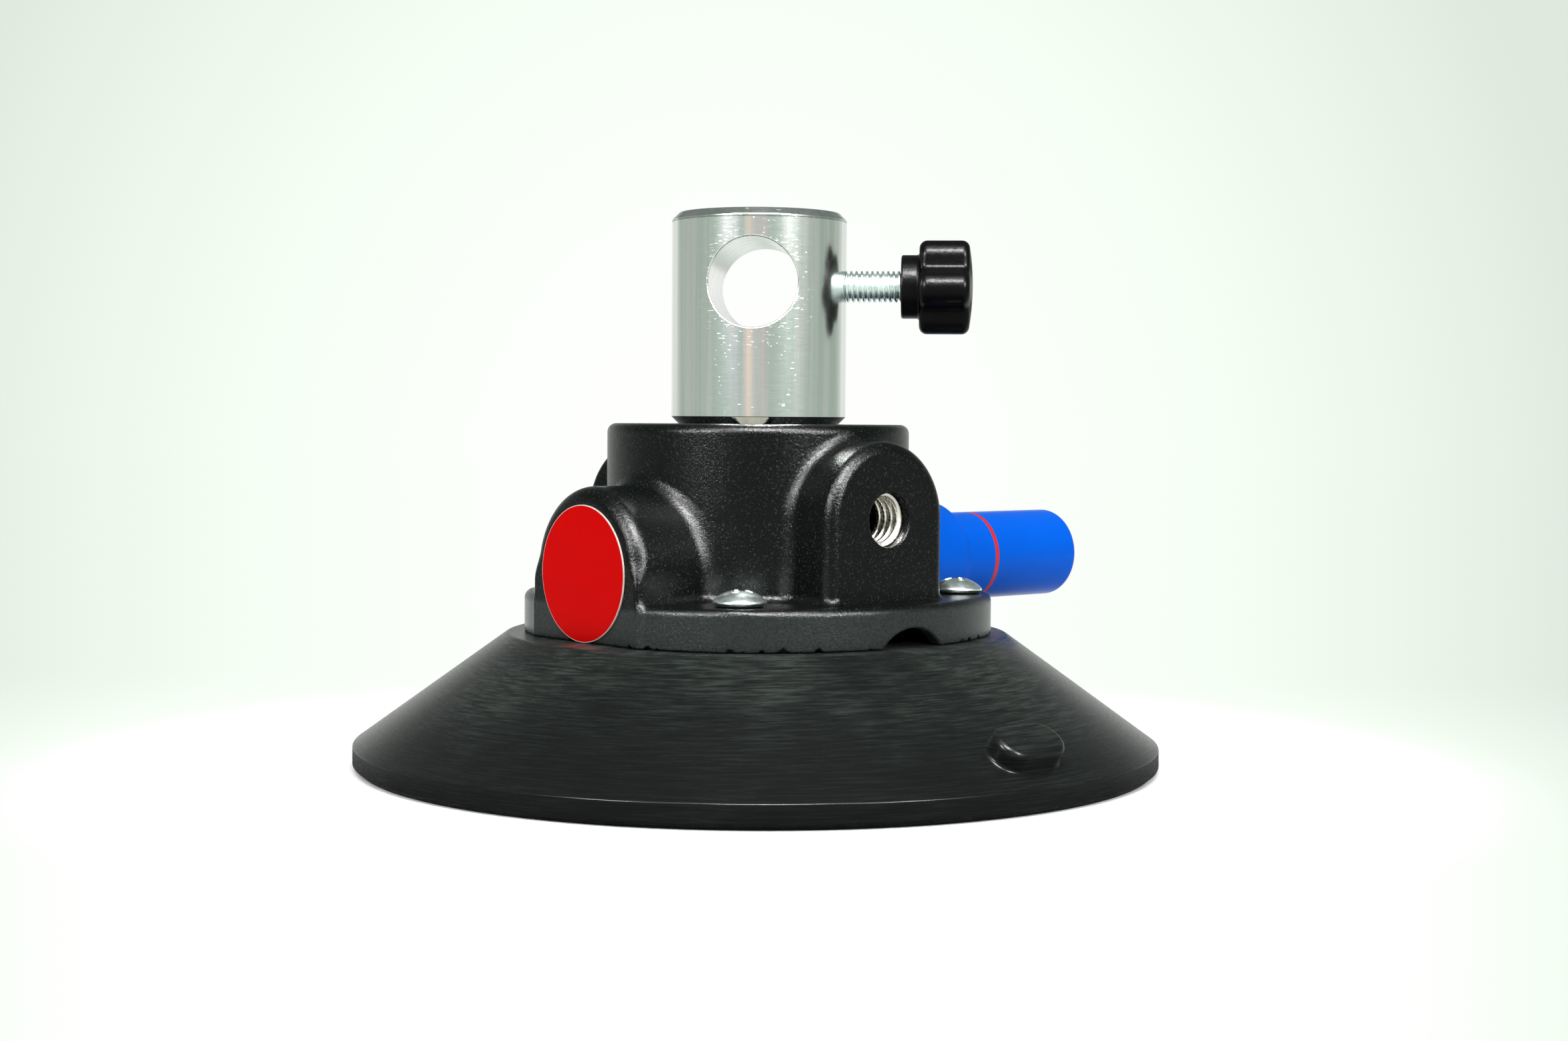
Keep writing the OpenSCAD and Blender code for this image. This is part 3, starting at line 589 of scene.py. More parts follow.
def housing_field(x, y, z):
    body = casting_outside(x, y, z)
    bore = np.maximum(np.hypot(y, z - BARREL_Z) - PUMP_BORE_R, PUMP_BORE_X - x)
    body = cut(body, bore, PUMP_BORE_EDGE)
    hole = np.hypot(x, z - ARCH_Z)
    coil_seat = np.maximum(hole - COIL_SEAT_R, abs(abs(y) - COIL_SEAT_Y) - COIL_SEAT_HALF)
    side_holes = np.maximum(np.minimum(hole - SIDE_HOLE_R, coil_seat), SIDE_HOLE_Y - abs(y))
    body = cut(body, side_holes, SMALL_HOLE_EDGE)
    top_hole = np.maximum(np.hypot(x, y) - TOP_HOLE_R, DRUM_TOP - TOP_HOLE_DEPTH - z)
    body = cut(body, top_hole, WIDE_HOLE_EDGE)
    screw_holes = np.hypot(abs(x) - SCREW_XY, abs(y) - SCREW_XY) - SCREW_HOLE_R
    body = cut(body, screw_holes, SMALL_HOLE_EDGE)
    vent = np.maximum(np.hypot(x, z - VENT_Z) - VENT_R, VENT_Y - abs(y))
    return cut(body, vent, WIDE_HOLE_EDGE)


# %% From a field to a mesh
def slope_of(field, points, reach=0.06):
    x, y, z = points.T
    value = field(x, y, z)
    slope = np.stack([
        field(x + reach, y, z) - field(x - reach, y, z),
        field(x, y + reach, z) - field(x, y - reach, z),
        field(x, y, z + reach) - field(x, y, z - reach),
    ], axis=1)
    return slope / np.maximum(np.linalg.norm(slope, axis=1, keepdims=True), 1e-9), value


def mesh_of_field(field, low, high, voxel):
    """The surface where the field is zero, as a Shape with the field's own slope for its normals."""
    axes = [np.arange(low[k] - 2 * voxel, high[k] + 2.5 * voxel, voxel, dtype=np.float32) for k in range(3)]
    x, y, z = np.meshgrid(*axes, indexing="ij", sparse=True)
    values = np.array(np.broadcast_to(field(x, y, z), [len(a) for a in axes]), dtype=np.float32)
    grid = openvdb.FloatGrid()
    grid.copyFromArray(values)
    points, quads = grid.convertToQuads(isovalue=0.0)
    points = points.astype(float) * voxel + np.array([a[0] for a in axes])
    for _ in range(2):
        slope, value = slope_of(field, points)
        shift = np.clip(value, -0.4 * voxel, 0.4 * voxel)
        points = points - slope * shift[:, None]
    points = np.clip(points, low, high)
    slope, _ = slope_of(field, points)
    return Shape(points, quads, slope[quads])


# %% [markdown]
# ## Shapes that carry their own normals
#
# Polished metal shows every guess that a renderer makes about a normal. The shapes below are built from
# formulas, and where the same formula gives the normal, each corner of each quad is handed the true one.
# Threads, knob and tab are fine grids, where the mean of the faces that meet in a point comes close
# enough.


# %% A mesh with a normal at every corner
class Shape:
    """Quads with a normal at each corner. Lengths are in millimetres."""

    def __init__(self, points, quads, normals):
        self.points = np.asarray(points, float).reshape(-1, 3)
        self.quads = np.asarray(quads, int).reshape(-1, 4)
        self.normals = np.asarray(normals, float).reshape(-1, 4, 3)

    def __add__(self, other):
        quads = np.concatenate([self.quads, other.quads + len(self.points)])
        points = np.concatenate([self.points, other.points])
        return Shape(points, quads, np.concatenate([self.normals, other.normals]))

    def placed(self, turn, at):
        """Turned by a 3 x 3 rotation, then moved."""
        turn = np.array(turn, float)
        return Shape(self.points @ turn.T + np.array(at), self.quads, self.normals @ turn.T)


def surface(points, normals=None, keep=None):
    """A grid of points, rows by columns, as a Shape. keep says which of its cells are there."""
    points = np.asarray(points, float)
    rows, columns = points.shape[:2]
    index = np.arange(rows * columns).reshape(rows, columns)
    quads = np.stack([index[:-1, :-1], index[:-1, 1:], index[1:, 1:], index[1:, :-1]], axis=-1)
    if keep is not None:
        quads = quads[keep]
    quads = quads.reshape(-1, 4)
    flat = points.reshape(-1, 3)
    if normals is None:
        normals = smooth_normals(flat, quads)
    return Shape(flat, quads, np.asarray(normals, float).reshape(-1, 3)[quads])


def face_normals(points, quads):
    corner = points[quads]
    return np.cross(corner[:, 2] - corner[:, 0], corner[:, 3] - corner[:, 1])


def same_places(points):
    """For each point, the number of the place where it is. Points less than 10 nanometres apart share one."""
    _, first, place = np.unique(np.round(points, 5), axis=0, return_index=True, return_inverse=True)
    return first, place.reshape(-1)


def smooth_normals(points, quads):
    first, place = same_places(points)
    total = np.zeros((len(first), 3))
    across = face_normals(points, quads)
    for corner in range(4):
        np.add.at(total, place[quads[:, corner]], across)
    total /= np.maximum(np.linalg.norm(total, axis=1, keepdims=True), 1e-12)
    return total[place]


# %% Rounded outlines and what a lathe makes of them
def outline(corners, closed=True, turn=12.0):
    """Corners (x, y, radius) with the solid on their left. Radius None marks a point of a smooth curve."""
    points, normals = [], []
    count = len(corners)
    for i, (x, y, radius) in enumerate(corners):
        here = np.array((x, y))
        before = np.array(corners[i - 1][:2])
        after = np.array(corners[(i + 1) % count][:2])
        go_in = (here - before) / np.linalg.norm(here - before)
        go_out = (after - here) / np.linalg.norm(after - here)
        side_in = np.array((go_in[1], -go_in[0]))
        side_out = np.array((go_out[1], -go_out[0]))
        bend = math.atan2(go_in[0] * go_out[1] - go_in[1] * go_out[0], go_in @ go_out)
        if not closed and i in (0, count - 1):
            points.append(here)
            normals.append(side_out if i == 0 else side_in)
        elif radius is None:
            middle = side_in + side_out
            points.append(here)
            normals.append(middle / np.linalg.norm(middle))
        elif radius == 0:
            points += [here, here]
            normals += [side_in, side_out]
        else:
            sign = 1 if bend > 0 else -1
            centre = here - go_in * radius * math.tan(abs(bend) / 2) - side_in * radius * sign
            steps = max(2, math.ceil(math.degrees(abs(bend)) / turn))
            for k in range(steps + 1):
                c, s = math.cos(bend * k / steps), math.sin(bend * k / steps)
                side = np.array((c * side_in[0] - s * side_in[1], s * side_in[0] + c * side_in[1]))
                points.append(centre + sign * radius * side)
                normals.append(side)
    if closed:
        points.append(points[0])
        normals.append(normals[0])
    return np.array(points), np.array(normals)


def lathe(corners, closed=True, sides=128):
    """Turns an outline of (radius, height, rounding) corners about +Z."""
    points, normals = outline(corners, closed)
    angle = np.linspace(0, 2 * math.pi, sides + 1)
    around = np.stack([np.cos(angle), np.sin(angle)])

    def swept(values):
        flat = values[:, :1, None] * around.T[None]
        rise = np.broadcast_to(values[:, 1, None, None], flat.shape[:2] + (1,))
        return np.concatenate([flat, rise], axis=2)

    return surface(swept(points), swept(normals))


# %% Putting a shape on its body
def piece(name, shape, body, slot, replaced):
    """Makes a piece from a shape, in the finish of its slot, and puts it on its body for some frame nodes."""
    first, place = same_places(shape.points)
    quads = place[shape.quads]
    normals = shape.normals.copy()
    facing = np.einsum("ij,ij->i", face_normals(shape.points, shape.quads), normals.sum(axis=1))
    quads[facing < 0] = quads[facing < 0][:, ::-1]
    normals[facing < 0] = normals[facing < 0][:, ::-1]
    new_corner = quads != np.roll(quads, 1, axis=1)
    sizes = new_corner.sum(axis=1)
    faces = [[int(v) for v, new in zip(q, n) if new] for q, n in zip(quads, new_corner)]
    whole = [i for i, face in enumerate(faces) if len(set(face)) >= 3 and len(set(face)) == len(face)]
    mesh = bpy.data.meshes.new(name)
    mesh.from_pydata((shape.points[first] * MM).tolist(), [], [faces[i] for i in whole])
    mesh.shade_smooth()
    corners = np.concatenate([normals[i][new_corner[i]] for i in whole])
    corners /= np.maximum(np.linalg.norm(corners, axis=1, keepdims=True), 1e-9)
    mesh.normals_split_custom_set(corners.tolist())
    mesh.materials.append(FINISHES[slot])
    made = bpy.data.objects.new(name, mesh)
    bpy.context.scene.collection.objects.link(made)
    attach(made, body)
    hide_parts(*replaced)
    print(name, "has", len(whole), "faces of", sizes.min(), "to", sizes.max(), "corners")


VOXEL = 0.34
casting_shape = mesh_of_field(housing_field, housing_low, housing_high, VOXEL)
piece("cast_housing", casting_shape, "base", "black_casting", ["pump_housing"])

# %% [markdown]
# ## The rubber pad
#
# The pad is turned from one outline: rim band, cone, soft shoulder, the seat of the steel plate and the
# hollow underneath, whose slope is one smooth curve between the flat roof and the lip. The release tab
# stands on the cone. The cone is curved, so the tab's lowest rings dip at the ends to follow it, and
# flare out into a fillet.

# %% The pad
PAD_R, PAD_TOP = 76.2, 25.0
BAND_FOOT, BAND_TOP = 1.1, 4.4
CONE_TOP_R = 47.5
CONE_ANGLE = math.atan2(PAD_TOP - BAND_TOP, PAD_R - CONE_TOP_R)
LIP_IN_R, LIP_OUT_R = 69.4, 74.9
ROOF_R, ROOF_Z = 34.0, 12.5
ROOF_CURVE_R = 53.6
LIP_CURVE_R, LIP_CURVE_Z = 64.07, 9.375
VALVE_HOLE_R = 9.03
COLLAR_R = 34.03
PLATE_R, PLATE_LOW, PLATE_HIGH = 44.03, 17.0, 20.0


def bezier(corners, t):
    a, b, c, d = (np.array(corner) for corner in corners)
    return (1 - t)**3 * a + 3 * (1 - t)**2 * t * b + 3 * (1 - t) * t**2 * c + t**3 * d


def pad_shape():
    slope = [(ROOF_R, ROOF_Z), (ROOF_CURVE_R, ROOF_Z), (LIP_CURVE_R, LIP_CURVE_Z), (LIP_IN_R, 0.0)]
    hollow = [tuple(bezier(slope, t)) + (None,) for t in np.linspace(0, 1, 25)[1:-1]]
    return lathe([
        (VALVE_HOLE_R, ROOF_Z, 0.3),
        (ROOF_R, ROOF_Z, None),
        *hollow,
        (LIP_IN_R, 0.0, 0.3),
        (LIP_OUT_R, 0.0, 0.25),
        (PAD_R, BAND_FOOT, 0.2),
        (PAD_R, BAND_TOP, 0.45),
        (CONE_TOP_R, PAD_TOP, 1.3),
        (COLLAR_R, PAD_TOP, 0),
        (COLLAR_R, PLATE_HIGH, 0),
        (PLATE_R, PLATE_HIGH, 0),
        (PLATE_R, PLATE_LOW, 0),
        (VALVE_HOLE_R, PLATE_LOW, 0),
    ], sides=256)


# %% The release tab
TAB_LENGTH, TAB_WIDTH, TAB_HEIGHT = 14.9, 8.2, 3.6
TAB_EDGE, TAB_FLARE, TAB_SUNK = 1.3, 0.7, 0.05
TAB_AT_R = 69.4

# How tightly the cone curves, measured along its surface's own normal, where the tab stands.
CONE_CURVE_R = 119.0


def tab_levels():
    """How far the tab's plan grows or shrinks at each height above the cone."""
    levels = []
    for a in np.radians(np.linspace(0, 90, 7)):
        levels.append((TAB_FLARE * (1 - math.sin(a)), TAB_FLARE * (1 - math.cos(a)) - TAB_SUNK))
    for a in np.radians(np.linspace(0, 90, 7)):
        levels.append((-TAB_EDGE * (1 - math.cos(a)), TAB_HEIGHT - TAB_EDGE * (1 - math.sin(a))))
    flat = TAB_WIDTH / 2 - TAB_EDGE
    return levels + [(-TAB_EDGE - share * flat, TAB_HEIGHT) for share in (0.35, 0.7, 1.0)]


def tab_shape():
    turn = np.linspace(0, 2 * math.pi, 97)
    end = np.sign(np.round(np.cos(turn), 6)) * (TAB_LENGTH - TAB_WIDTH) / 2
    rows = []
    for grow, level in tab_levels():
        radius = max(TAB_WIDTH / 2 + grow, 0.0)
        u, v = radius * np.cos(turn) + end, radius * np.sin(turn)
        follow = np.clip(1 - level / (TAB_HEIGHT - TAB_EDGE), 0, 1)
        rows.append(np.stack([u, v, level - follow * u**2 / (2 * CONE_CURVE_R)], axis=1))
    c, s = math.cos(CONE_ANGLE), math.sin(CONE_ANGLE)
    lean = np.array([[1, 0, 0], [0, c, -s], [0, s, c]])
    foot = PAD_TOP - (TAB_AT_R - CONE_TOP_R) * math.tan(CONE_ANGLE)
    return surface(rows).placed(lean, (0, -TAB_AT_R, foot))


piece("rubber_pad", pad_shape() + tab_shape(), "base", "pad_rubber", ["vacuum_pad"])

# %% [markdown]
# ## The turned socket
#
# Two round holes meet inside a polished cylinder: a bore right through, and a smaller one for the clamp
# screw. A boolean would leave long thin triangles whose shading shows, so the wall is a regular grid, and
# each hole sits in a patch whose rings slide from a rectangle of the grid to a circle.

# %% A patch between a rectangle of grid cells and a round hole
SOCKET_R, SOCKET_FOOT, SOCKET_TOP = 16.6, 64.5, 104.3
FOOT_CHAMFER, TOP_CHAMFER = 1.4, 1.3
WALL_LOW, WALL_HIGH = SOCKET_FOOT + FOOT_CHAMFER, SOCKET_TOP - TOP_CHAMFER
BORE_R = 8.3
CLAMP_HOLE_R = 3.05
COLUMNS, ROW = 128, 0.82
CELL = 2 * math.pi / COLUMNS
MOUTH_COLUMNS, MOUTH_ROWS = 14, 14
CLAMP_COLUMNS, CLAMP_ROWS = 8, 9
SPIGOT_TURN = np.array([[DIAGONAL, DIAGONAL, 0], [-DIAGONAL, DIAGONAL, 0], [0, 0, 1]])


def rectangle(half_u, half_v):
    """The grid points round a rectangle, anticlockwise from its lower right corner."""
    right = [(half_u, v) for v in range(-half_v, half_v)]
    top = [(u, half_v) for u in range(half_u, -half_u, -1)]
    left = [(-half_u, v) for v in range(half_v, -half_v, -1)]
    bottom = [(u, -half_v) for u in range(-half_u, half_u)]
    return np.array(right + top + left + bottom + [(half_u, -half_v)], float)


def eased_rings(hole, edge, steps=7):
    """Rings from a hole's outline to its rectangle, closer together near the hole."""
    share = (np.arange(steps + 1) / steps)**1.5
    return hole[None] * (1 - share[:, None, None]) + edge[None] * share[:, None, None]


def wall_points(angle, height):
    """Points of the outside wall, with the angle taken from the bore's front mouth."""
    spot = np.stack([SOCKET_R * np.sin(angle), -SOCKET_R * np.cos(angle), height], axis=-1)
    out = np.stack([np.sin(angle), -np.cos(angle), np.zeros_like(height)], axis=-1)
    return spot, out


mouth_edge = rectangle(MOUTH_COLUMNS, MOUTH_ROWS) * (CELL, ROW)
mouth_turn = np.arctan2(mouth_edge[:, 1], SOCKET_R * np.sin(mouth_edge[:, 0]))
clamp_edge = rectangle(CLAMP_COLUMNS, CLAMP_ROWS) * (CELL, ROW)
clamp_turn = np.arctan2(clamp_edge[:, 1], SOCKET_R * np.sin(clamp_edge[:, 0]))
print("a mouth's patch has", len(mouth_edge) - 1, "cells round it, the clamp hole's", len(clamp_edge) - 1)

# %% The bore's two mouths
MOUTH_BREAK = 0.35
MIDDLE_ROW = 0.62
MIDDLE_HALF = 8


def mouth_shape(side):
    """One mouth of the cross bore with its broken edge, and the bore from there to the middle part."""
    rim = BORE_R + MOUTH_BREAK
    hole = np.stack([np.arcsin(rim * np.cos(mouth_turn) / SOCKET_R), rim * np.sin(mouth_turn)], axis=1)
    rings = eased_rings(hole, mouth_edge)
    spot, out = wall_points(rings[..., 0], BORE_Z + rings[..., 1])
    wall = surface(spot, out)

    rows, ways = [], []
    inward = np.stack([-np.cos(mouth_turn), np.zeros_like(mouth_turn), -np.sin(mouth_turn)], axis=1)
    for a in np.radians(np.linspace(0, 90, 5)):
        radius = BORE_R + MOUTH_BREAK * (1 - math.sin(a))
        x = radius * np.cos(mouth_turn)
        y = -np.sqrt(SOCKET_R**2 - x**2) + MOUTH_BREAK * (1 - math.cos(a))
        rows.append(np.stack([x, y, BORE_Z + radius * np.sin(mouth_turn)], axis=1))
        face = np.stack([x, -np.sqrt(SOCKET_R**2 - x**2), np.zeros_like(x)], axis=1) / SOCKET_R
        ways.append(face * math.cos(a) + inward * math.sin(a))
    rim_part = surface(rows, ways)

    near = MIDDLE_HALF * MIDDLE_ROW
    end = rows[-1][:, 1]
    shares = np.linspace(0, 1, 9)[:, None]
    depth = end[None] * (1 - shares) - near * shares
    bore = np.stack([
        np.broadcast_to(BORE_R * np.cos(mouth_turn), depth.shape),
        depth,
        np.broadcast_to(BORE_Z + BORE_R * np.sin(mouth_turn), depth.shape),
    ], axis=2)
    bore_part = surface(bore, np.broadcast_to(inward, bore.shape))
    half = wall + rim_part + bore_part
    return half.placed(np.diag((1, side, 1)), (0, 0, 0))


# %% The bore's middle, where the clamp hole comes in
INNER_BREAK, OUTER_BREAK = 0.2, 0.3


def bore_points(turn, along):
    """Points of the cross bore's own wall, whose normals look at its axis."""
    across, upward = np.cos(turn), np.sin(turn)
    spot = np.broadcast_arrays(BORE_R * across, along, BORE_Z + BORE_R * upward)
    inward = np.broadcast_arrays(-across, 0.0 * along, -upward)
    return np.stack(spot, axis=-1), np.stack(inward, axis=-1)


def bore_middle():
    """A stretch of plain bore with a gap in it, and the patch that fills the gap round the clamp hole."""
    count = len(mouth_turn) - 1
    away = (np.arange(count) - MOUTH_ROWS + count // 2) % count - count // 2
    keep = np.ones((2 * MIDDLE_HALF, count), bool)
    keep[:, (away >= -CLAMP_ROWS) & (away < CLAMP_ROWS)] = False
    along = np.arange(-MIDDLE_HALF, MIDDLE_HALF + 1) * MIDDLE_ROW
    plain = surface(*bore_points(mouth_turn, along[:, None]), keep)

    cells = rectangle(MIDDLE_HALF, CLAMP_ROWS)
    around = mouth_turn[(MOUTH_ROWS + cells[:, 1]).astype(int) % count]
    edge = np.stack([cells[:, 0] * MIDDLE_ROW, around], axis=1)
    rim = CLAMP_HOLE_R + INNER_BREAK
    hole = np.stack([rim * np.cos(clamp_turn), np.arcsin(rim * np.sin(clamp_turn) / BORE_R)], axis=1)
    rings = eased_rings(hole, edge, 4)
    return plain + surface(*bore_points(rings[..., 1], rings[..., 0]))


def clamp_tunnel():
    """The clamp hole, with its edge broken where it leaves the bore and where it leaves the wall."""
    across, upward = np.cos(clamp_turn), np.sin(clamp_turn)
    none = np.zeros_like(clamp_turn)
    inward = np.stack([none, -across, -upward], axis=1)
    inner, inner_ways, outer, outer_ways = [], [], [], []
    for a in np.radians(np.linspace(0, 90, 4)):
        radius = CLAMP_HOLE_R + INNER_BREAK * (1 - math.sin(a))
        y, z = radius * across, radius * upward
        bore_x = np.sqrt(BORE_R**2 - z**2)
        inner.append(np.stack([bore_x + INNER_BREAK * (1 - math.cos(a)), y, BORE_Z + z], axis=1))
        face = -np.stack([bore_x, none, z], axis=1) / BORE_R
        inner_ways.append(face * math.cos(a) + inward * math.sin(a))
    for a in np.radians(np.linspace(90, 0, 5)):
        radius = CLAMP_HOLE_R + OUTER_BREAK * (1 - math.sin(a))
        y, z = radius * across, radius * upward
        wall_x = np.sqrt(SOCKET_R**2 - y**2)
        outer.append(np.stack([wall_x - OUTER_BREAK * (1 - math.cos(a)), y, BORE_Z + z], axis=1))
        face = np.stack([wall_x, y, none], axis=1) / SOCKET_R
        outer_ways.append(face * math.cos(a) + inward * math.sin(a))
    tunnel = surface([inner[-1], outer[0]], [inward, inward])
    return surface(inner, inner_ways) + tunnel + surface(outer, outer_ways)


# %% The socket's wall
TOP_EDGE = 0.45


def socket_wall():
    """The outside wall with its three holes left open, and the patch round the clamp hole."""
    span = MOUTH_ROWS * ROW
    below = np.linspace(WALL_LOW, BORE_Z - span, 17)[:-1]
    middle = BORE_Z + np.arange(-MOUTH_ROWS, MOUTH_ROWS + 1) * ROW
    heights = np.concatenate([below, middle, [WALL_HIGH - TOP_EDGE * math.tan(math.radians(22.5))]])
    angle = np.arange(COLUMNS + 1) * CELL
    spot, out = wall_points(np.broadcast_to(angle, (len(heights), len(angle))),
                            np.broadcast_to(heights[:, None], (len(heights), len(angle))))
    keep = np.ones((len(heights) - 1, COLUMNS), bool)
    column = np.arange(COLUMNS)
    first = len(below)

    def hide(centre, half_columns, half_rows):
        away = (column - centre + COLUMNS // 2) % COLUMNS - COLUMNS // 2
        inside = (away >= -half_columns) & (away < half_columns)
        middle_row = first + MOUTH_ROWS
        keep[middle_row - half_rows:middle_row + half_rows, inside] = False

    hide(0, MOUTH_COLUMNS, MOUTH_ROWS)
    hide(COLUMNS // 2, MOUTH_COLUMNS, MOUTH_ROWS)
    hide(COLUMNS // 4, CLAMP_COLUMNS, CLAMP_ROWS)
    wall = surface(spot, out, keep)

    rim = CLAMP_HOLE_R + OUTER_BREAK
    hole = np.stack([np.arcsin(rim * np.cos(clamp_turn) / SOCKET_R), rim * np.sin(clamp_turn)], axis=1)
    rings = eased_rings(hole, clamp_edge, 4)
    spot, out = wall_points(math.pi / 2 + rings[..., 0], BORE_Z + rings[..., 1])
    return wall + surface(spot, out)


# %% The socket's top and foot
NOTCH_HALF, NOTCH_DEPTH, NOTCH_RISE = 3.8, 1.6, 1.3
NOTCH_COLUMNS, WARPED_COLUMNS = 5, 12
FOOT_STEP = 0.1
INSIDE_Z = 80


def socket_top():
    return lathe([
        (SOCKET_R, WALL_HIGH - 0.5, 0),
        (SOCKET_R, WALL_HIGH, TOP_EDGE),
        (SOCKET_R - TOP_CHAMFER, SOCKET_TOP, 0.2),
        (0.0, SOCKET_TOP, 0),
    ], closed=False)


# The notch's two ends are columns that come twice, once on the round wall and once on the flat.
round_left = np.arange(-COLUMNS // 2, 1 - NOTCH_COLUMNS)
in_notch = np.arange(-NOTCH_COLUMNS, NOTCH_COLUMNS + 1)
foot_columns = np.concatenate([round_left, in_notch, -round_left[::-1]])
on_flat = np.zeros(len(foot_columns), bool)
on_flat[len(round_left):len(round_left) + len(in_notch)] = True


def foot_row(radius, height, flat):
    """One ring of the foot. Columns near the notch are pulled to where the notch ends at this height."""
    reach = math.asin((NOTCH_HALF - (SOCKET_FOOT + NOTCH_RISE - height)) / radius)
    spread = np.abs(foot_columns)
    beyond = (spread - NOTCH_COLUMNS) / (WARPED_COLUMNS - NOTCH_COLUMNS)
    warped = np.where(spread <= NOTCH_COLUMNS, reach * spread / NOTCH_COLUMNS,
                      reach + beyond * (WARPED_COLUMNS * CELL - reach))
    angle = np.where(spread < WARPED_COLUMNS, np.sign(foot_columns) * warped, foot_columns * CELL)
    x, y = radius * np.sin(angle), -radius * np.cos(angle)
    if flat:
        y = np.where(on_flat, NOTCH_DEPTH - SOCKET_R, y)
    return np.stack([x, y, np.full(len(x), height)], axis=1)


def socket_foot():
    """The chamfered foot with its tool notch. Each face keeps its own normal, so edges stay crisp."""
    turn = foot_columns * CELL
    height = np.full(len(turn), WALL_LOW)
    foot = surface([
        np.stack([SOCKET_R * np.sin(turn), -SOCKET_R * np.cos(turn), height], axis=1),
        foot_row(SOCKET_R - FOOT_STEP, SOCKET_FOOT + NOTCH_RISE, False),
        foot_row(SOCKET_R - FOOT_STEP, SOCKET_FOOT + NOTCH_RISE, True),
        foot_row(SOCKET_R - FOOT_CHAMFER, SOCKET_FOOT, True),
        np.zeros((len(turn), 3)) + (0, 0, SOCKET_FOOT),
    ])
    across = face_normals(foot.points, foot.quads)
    length = np.maximum(np.linalg.norm(across, axis=1, keepdims=True), 1e-12)
    foot.normals = np.repeat((across / length)[:, None], 4, axis=1)
    outwards = foot.points[foot.quads].mean(axis=1) - (0, 0, INSIDE_Z)
    foot.normals[np.einsum("ij,ij->i", across, outwards) < 0] *= -1
    return foot


bore = mouth_shape(1) + mouth_shape(-1) + bore_middle() + clamp_tunnel()
socket = bore + socket_wall() + socket_top() + socket_foot()
piece("turned_socket", socket.placed(SPIGOT_TURN, (0, 0, 0)), "base", "socket_aluminium", ["spigot_socket"])

# %% [markdown]
# ## Threads
#
# A wire insert is a coil of shaped wire whose inner edges are the thread. The clamp screw is the same
# idea outside in. Both are grids: along the coil its section is swept round and up, and along the screw
# each row of points climbs with the turn. A right-hand helix stays right-handed however it lies, so one
# coil serves both bosses.

# %% The coils in the side bosses
COIL_PITCH = 25.4 / 16

# Half of a crest, each point as its distance along the coil from the crest's middle and from the coil's axis.
COIL_CREST = [
    (0.0, 4.02), (0.22, 4.04), (0.38, 4.12), (0.50, 4.27), (0.60, 4.50), (0.69, 4.78), (0.785, 5.02)]
COIL_BACK = [(0.5, 5.1), (-0.5, 5.1)]
COIL_END_R, COIL_END_TAPER = 5.0, 0.25
COIL_MARGIN, COIL_BELOW_FACE = 0.8, 0.8
COIL_START = math.radians(100)
INTO_FRONT = np.array([[1, 0, 0], [0, 0, 1], [0, -1, 0]])
INTO_REAR = np.array([[-1, 0, 0], [0, 0, -1], [0, -1, 0]])


def wire_coil(length, sides=64):
    """The inside of a coil: broad rounded crests that point inwards, with a narrow groove between turns."""
    other_half = [(-along, radius) for along, radius in COIL_CREST[:0:-1]]
    section = other_half + COIL_CREST + COIL_BACK
    steps = int((length - 2 * COIL_MARGIN) / COIL_PITCH * sides)
    angle = np.arange(steps + 1) / sides * 2 * math.pi
    taper = np.clip(angle / COIL_END_TAPER, 0, 1) * np.clip((angle[-1] - angle) / COIL_END_TAPER, 0, 1)
    turn = COIL_START + angle
    rows = []
    for along, radius in section + section[:1]:
        inside = COIL_END_R + (radius - COIL_END_R) * taper
        height = COIL_MARGIN + along * taper + angle / (2 * math.pi) * COIL_PITCH
        rows.append(np.stack([inside * np.cos(turn), inside * np.sin(turn), height], axis=1))
    return surface(rows)


side_coil = wire_coil(insert_high[1] - insert_low[1])
for place, side, turn in (("front", -1, INTO_FRONT), ("rear", 1, INTO_REAR)):
    coil = side_coil.placed(turn, (0, side * (ARCH_END - COIL_BELOW_FACE), ARCH_Z))
    piece("coil_" + place, coil, "base", "insert_steel", ["thread_insert_" + place])

# %% The clamp screw
CREST_R, ROOT_R, SCREW_PITCH, SCREW_CHAMFER = 2.98, 2.42, 1.0, 0.8
ROOT_WIDTH, FLANK_WIDTH = 0.16, 0.62
SCREW_START, SCREW_END = 9.0, 36.2
ALONG_X = np.array([[0, 0, 1], [0, 1, 0], [-1, 0, 0]])


def screw_thread(start, end, sides=48, steps=12):
    """An outside thread between two heights, with a chamfered start."""
    count = int((end - start) / SCREW_PITCH * steps) + 2 * steps
    angle = np.linspace(0, 2 * math.pi, sides + 1)
    share = angle[None] / (2 * math.pi)
    row = np.arange(-steps, count + 1)[:, None]
    height = np.clip(start + SCREW_PITCH * (row / steps + share), start, end)
    phase = np.abs(((height - start) / SCREW_PITCH - share) % 1.0 - 0.5) * 2
    radius = ROOT_R + (CREST_R - ROOT_R) * ramp(phase, ROOT_WIDTH, ROOT_WIDTH + FLANK_WIDTH)
    radius = np.minimum(radius, CREST_R - SCREW_CHAMFER + (height - start))
    points = np.stack([radius * np.cos(angle), radius * np.sin(angle), height], axis=2)
    on_axis = np.zeros((1, sides + 1, 3))
    return surface(np.concatenate([on_axis + (0, 0, start), points, on_axis + (0, 0, end)]))


CLAMP_FRAME = SPIGOT_TURN @ ALONG_X
CLAMP_AT = (0, 0, BORE_Z)
screw = screw_thread(SCREW_START, SCREW_END)
piece("clamp_thread", screw.placed(CLAMP_FRAME, CLAMP_AT), "clamp_spindle", "zinc_steel", ["clamp_screw"])

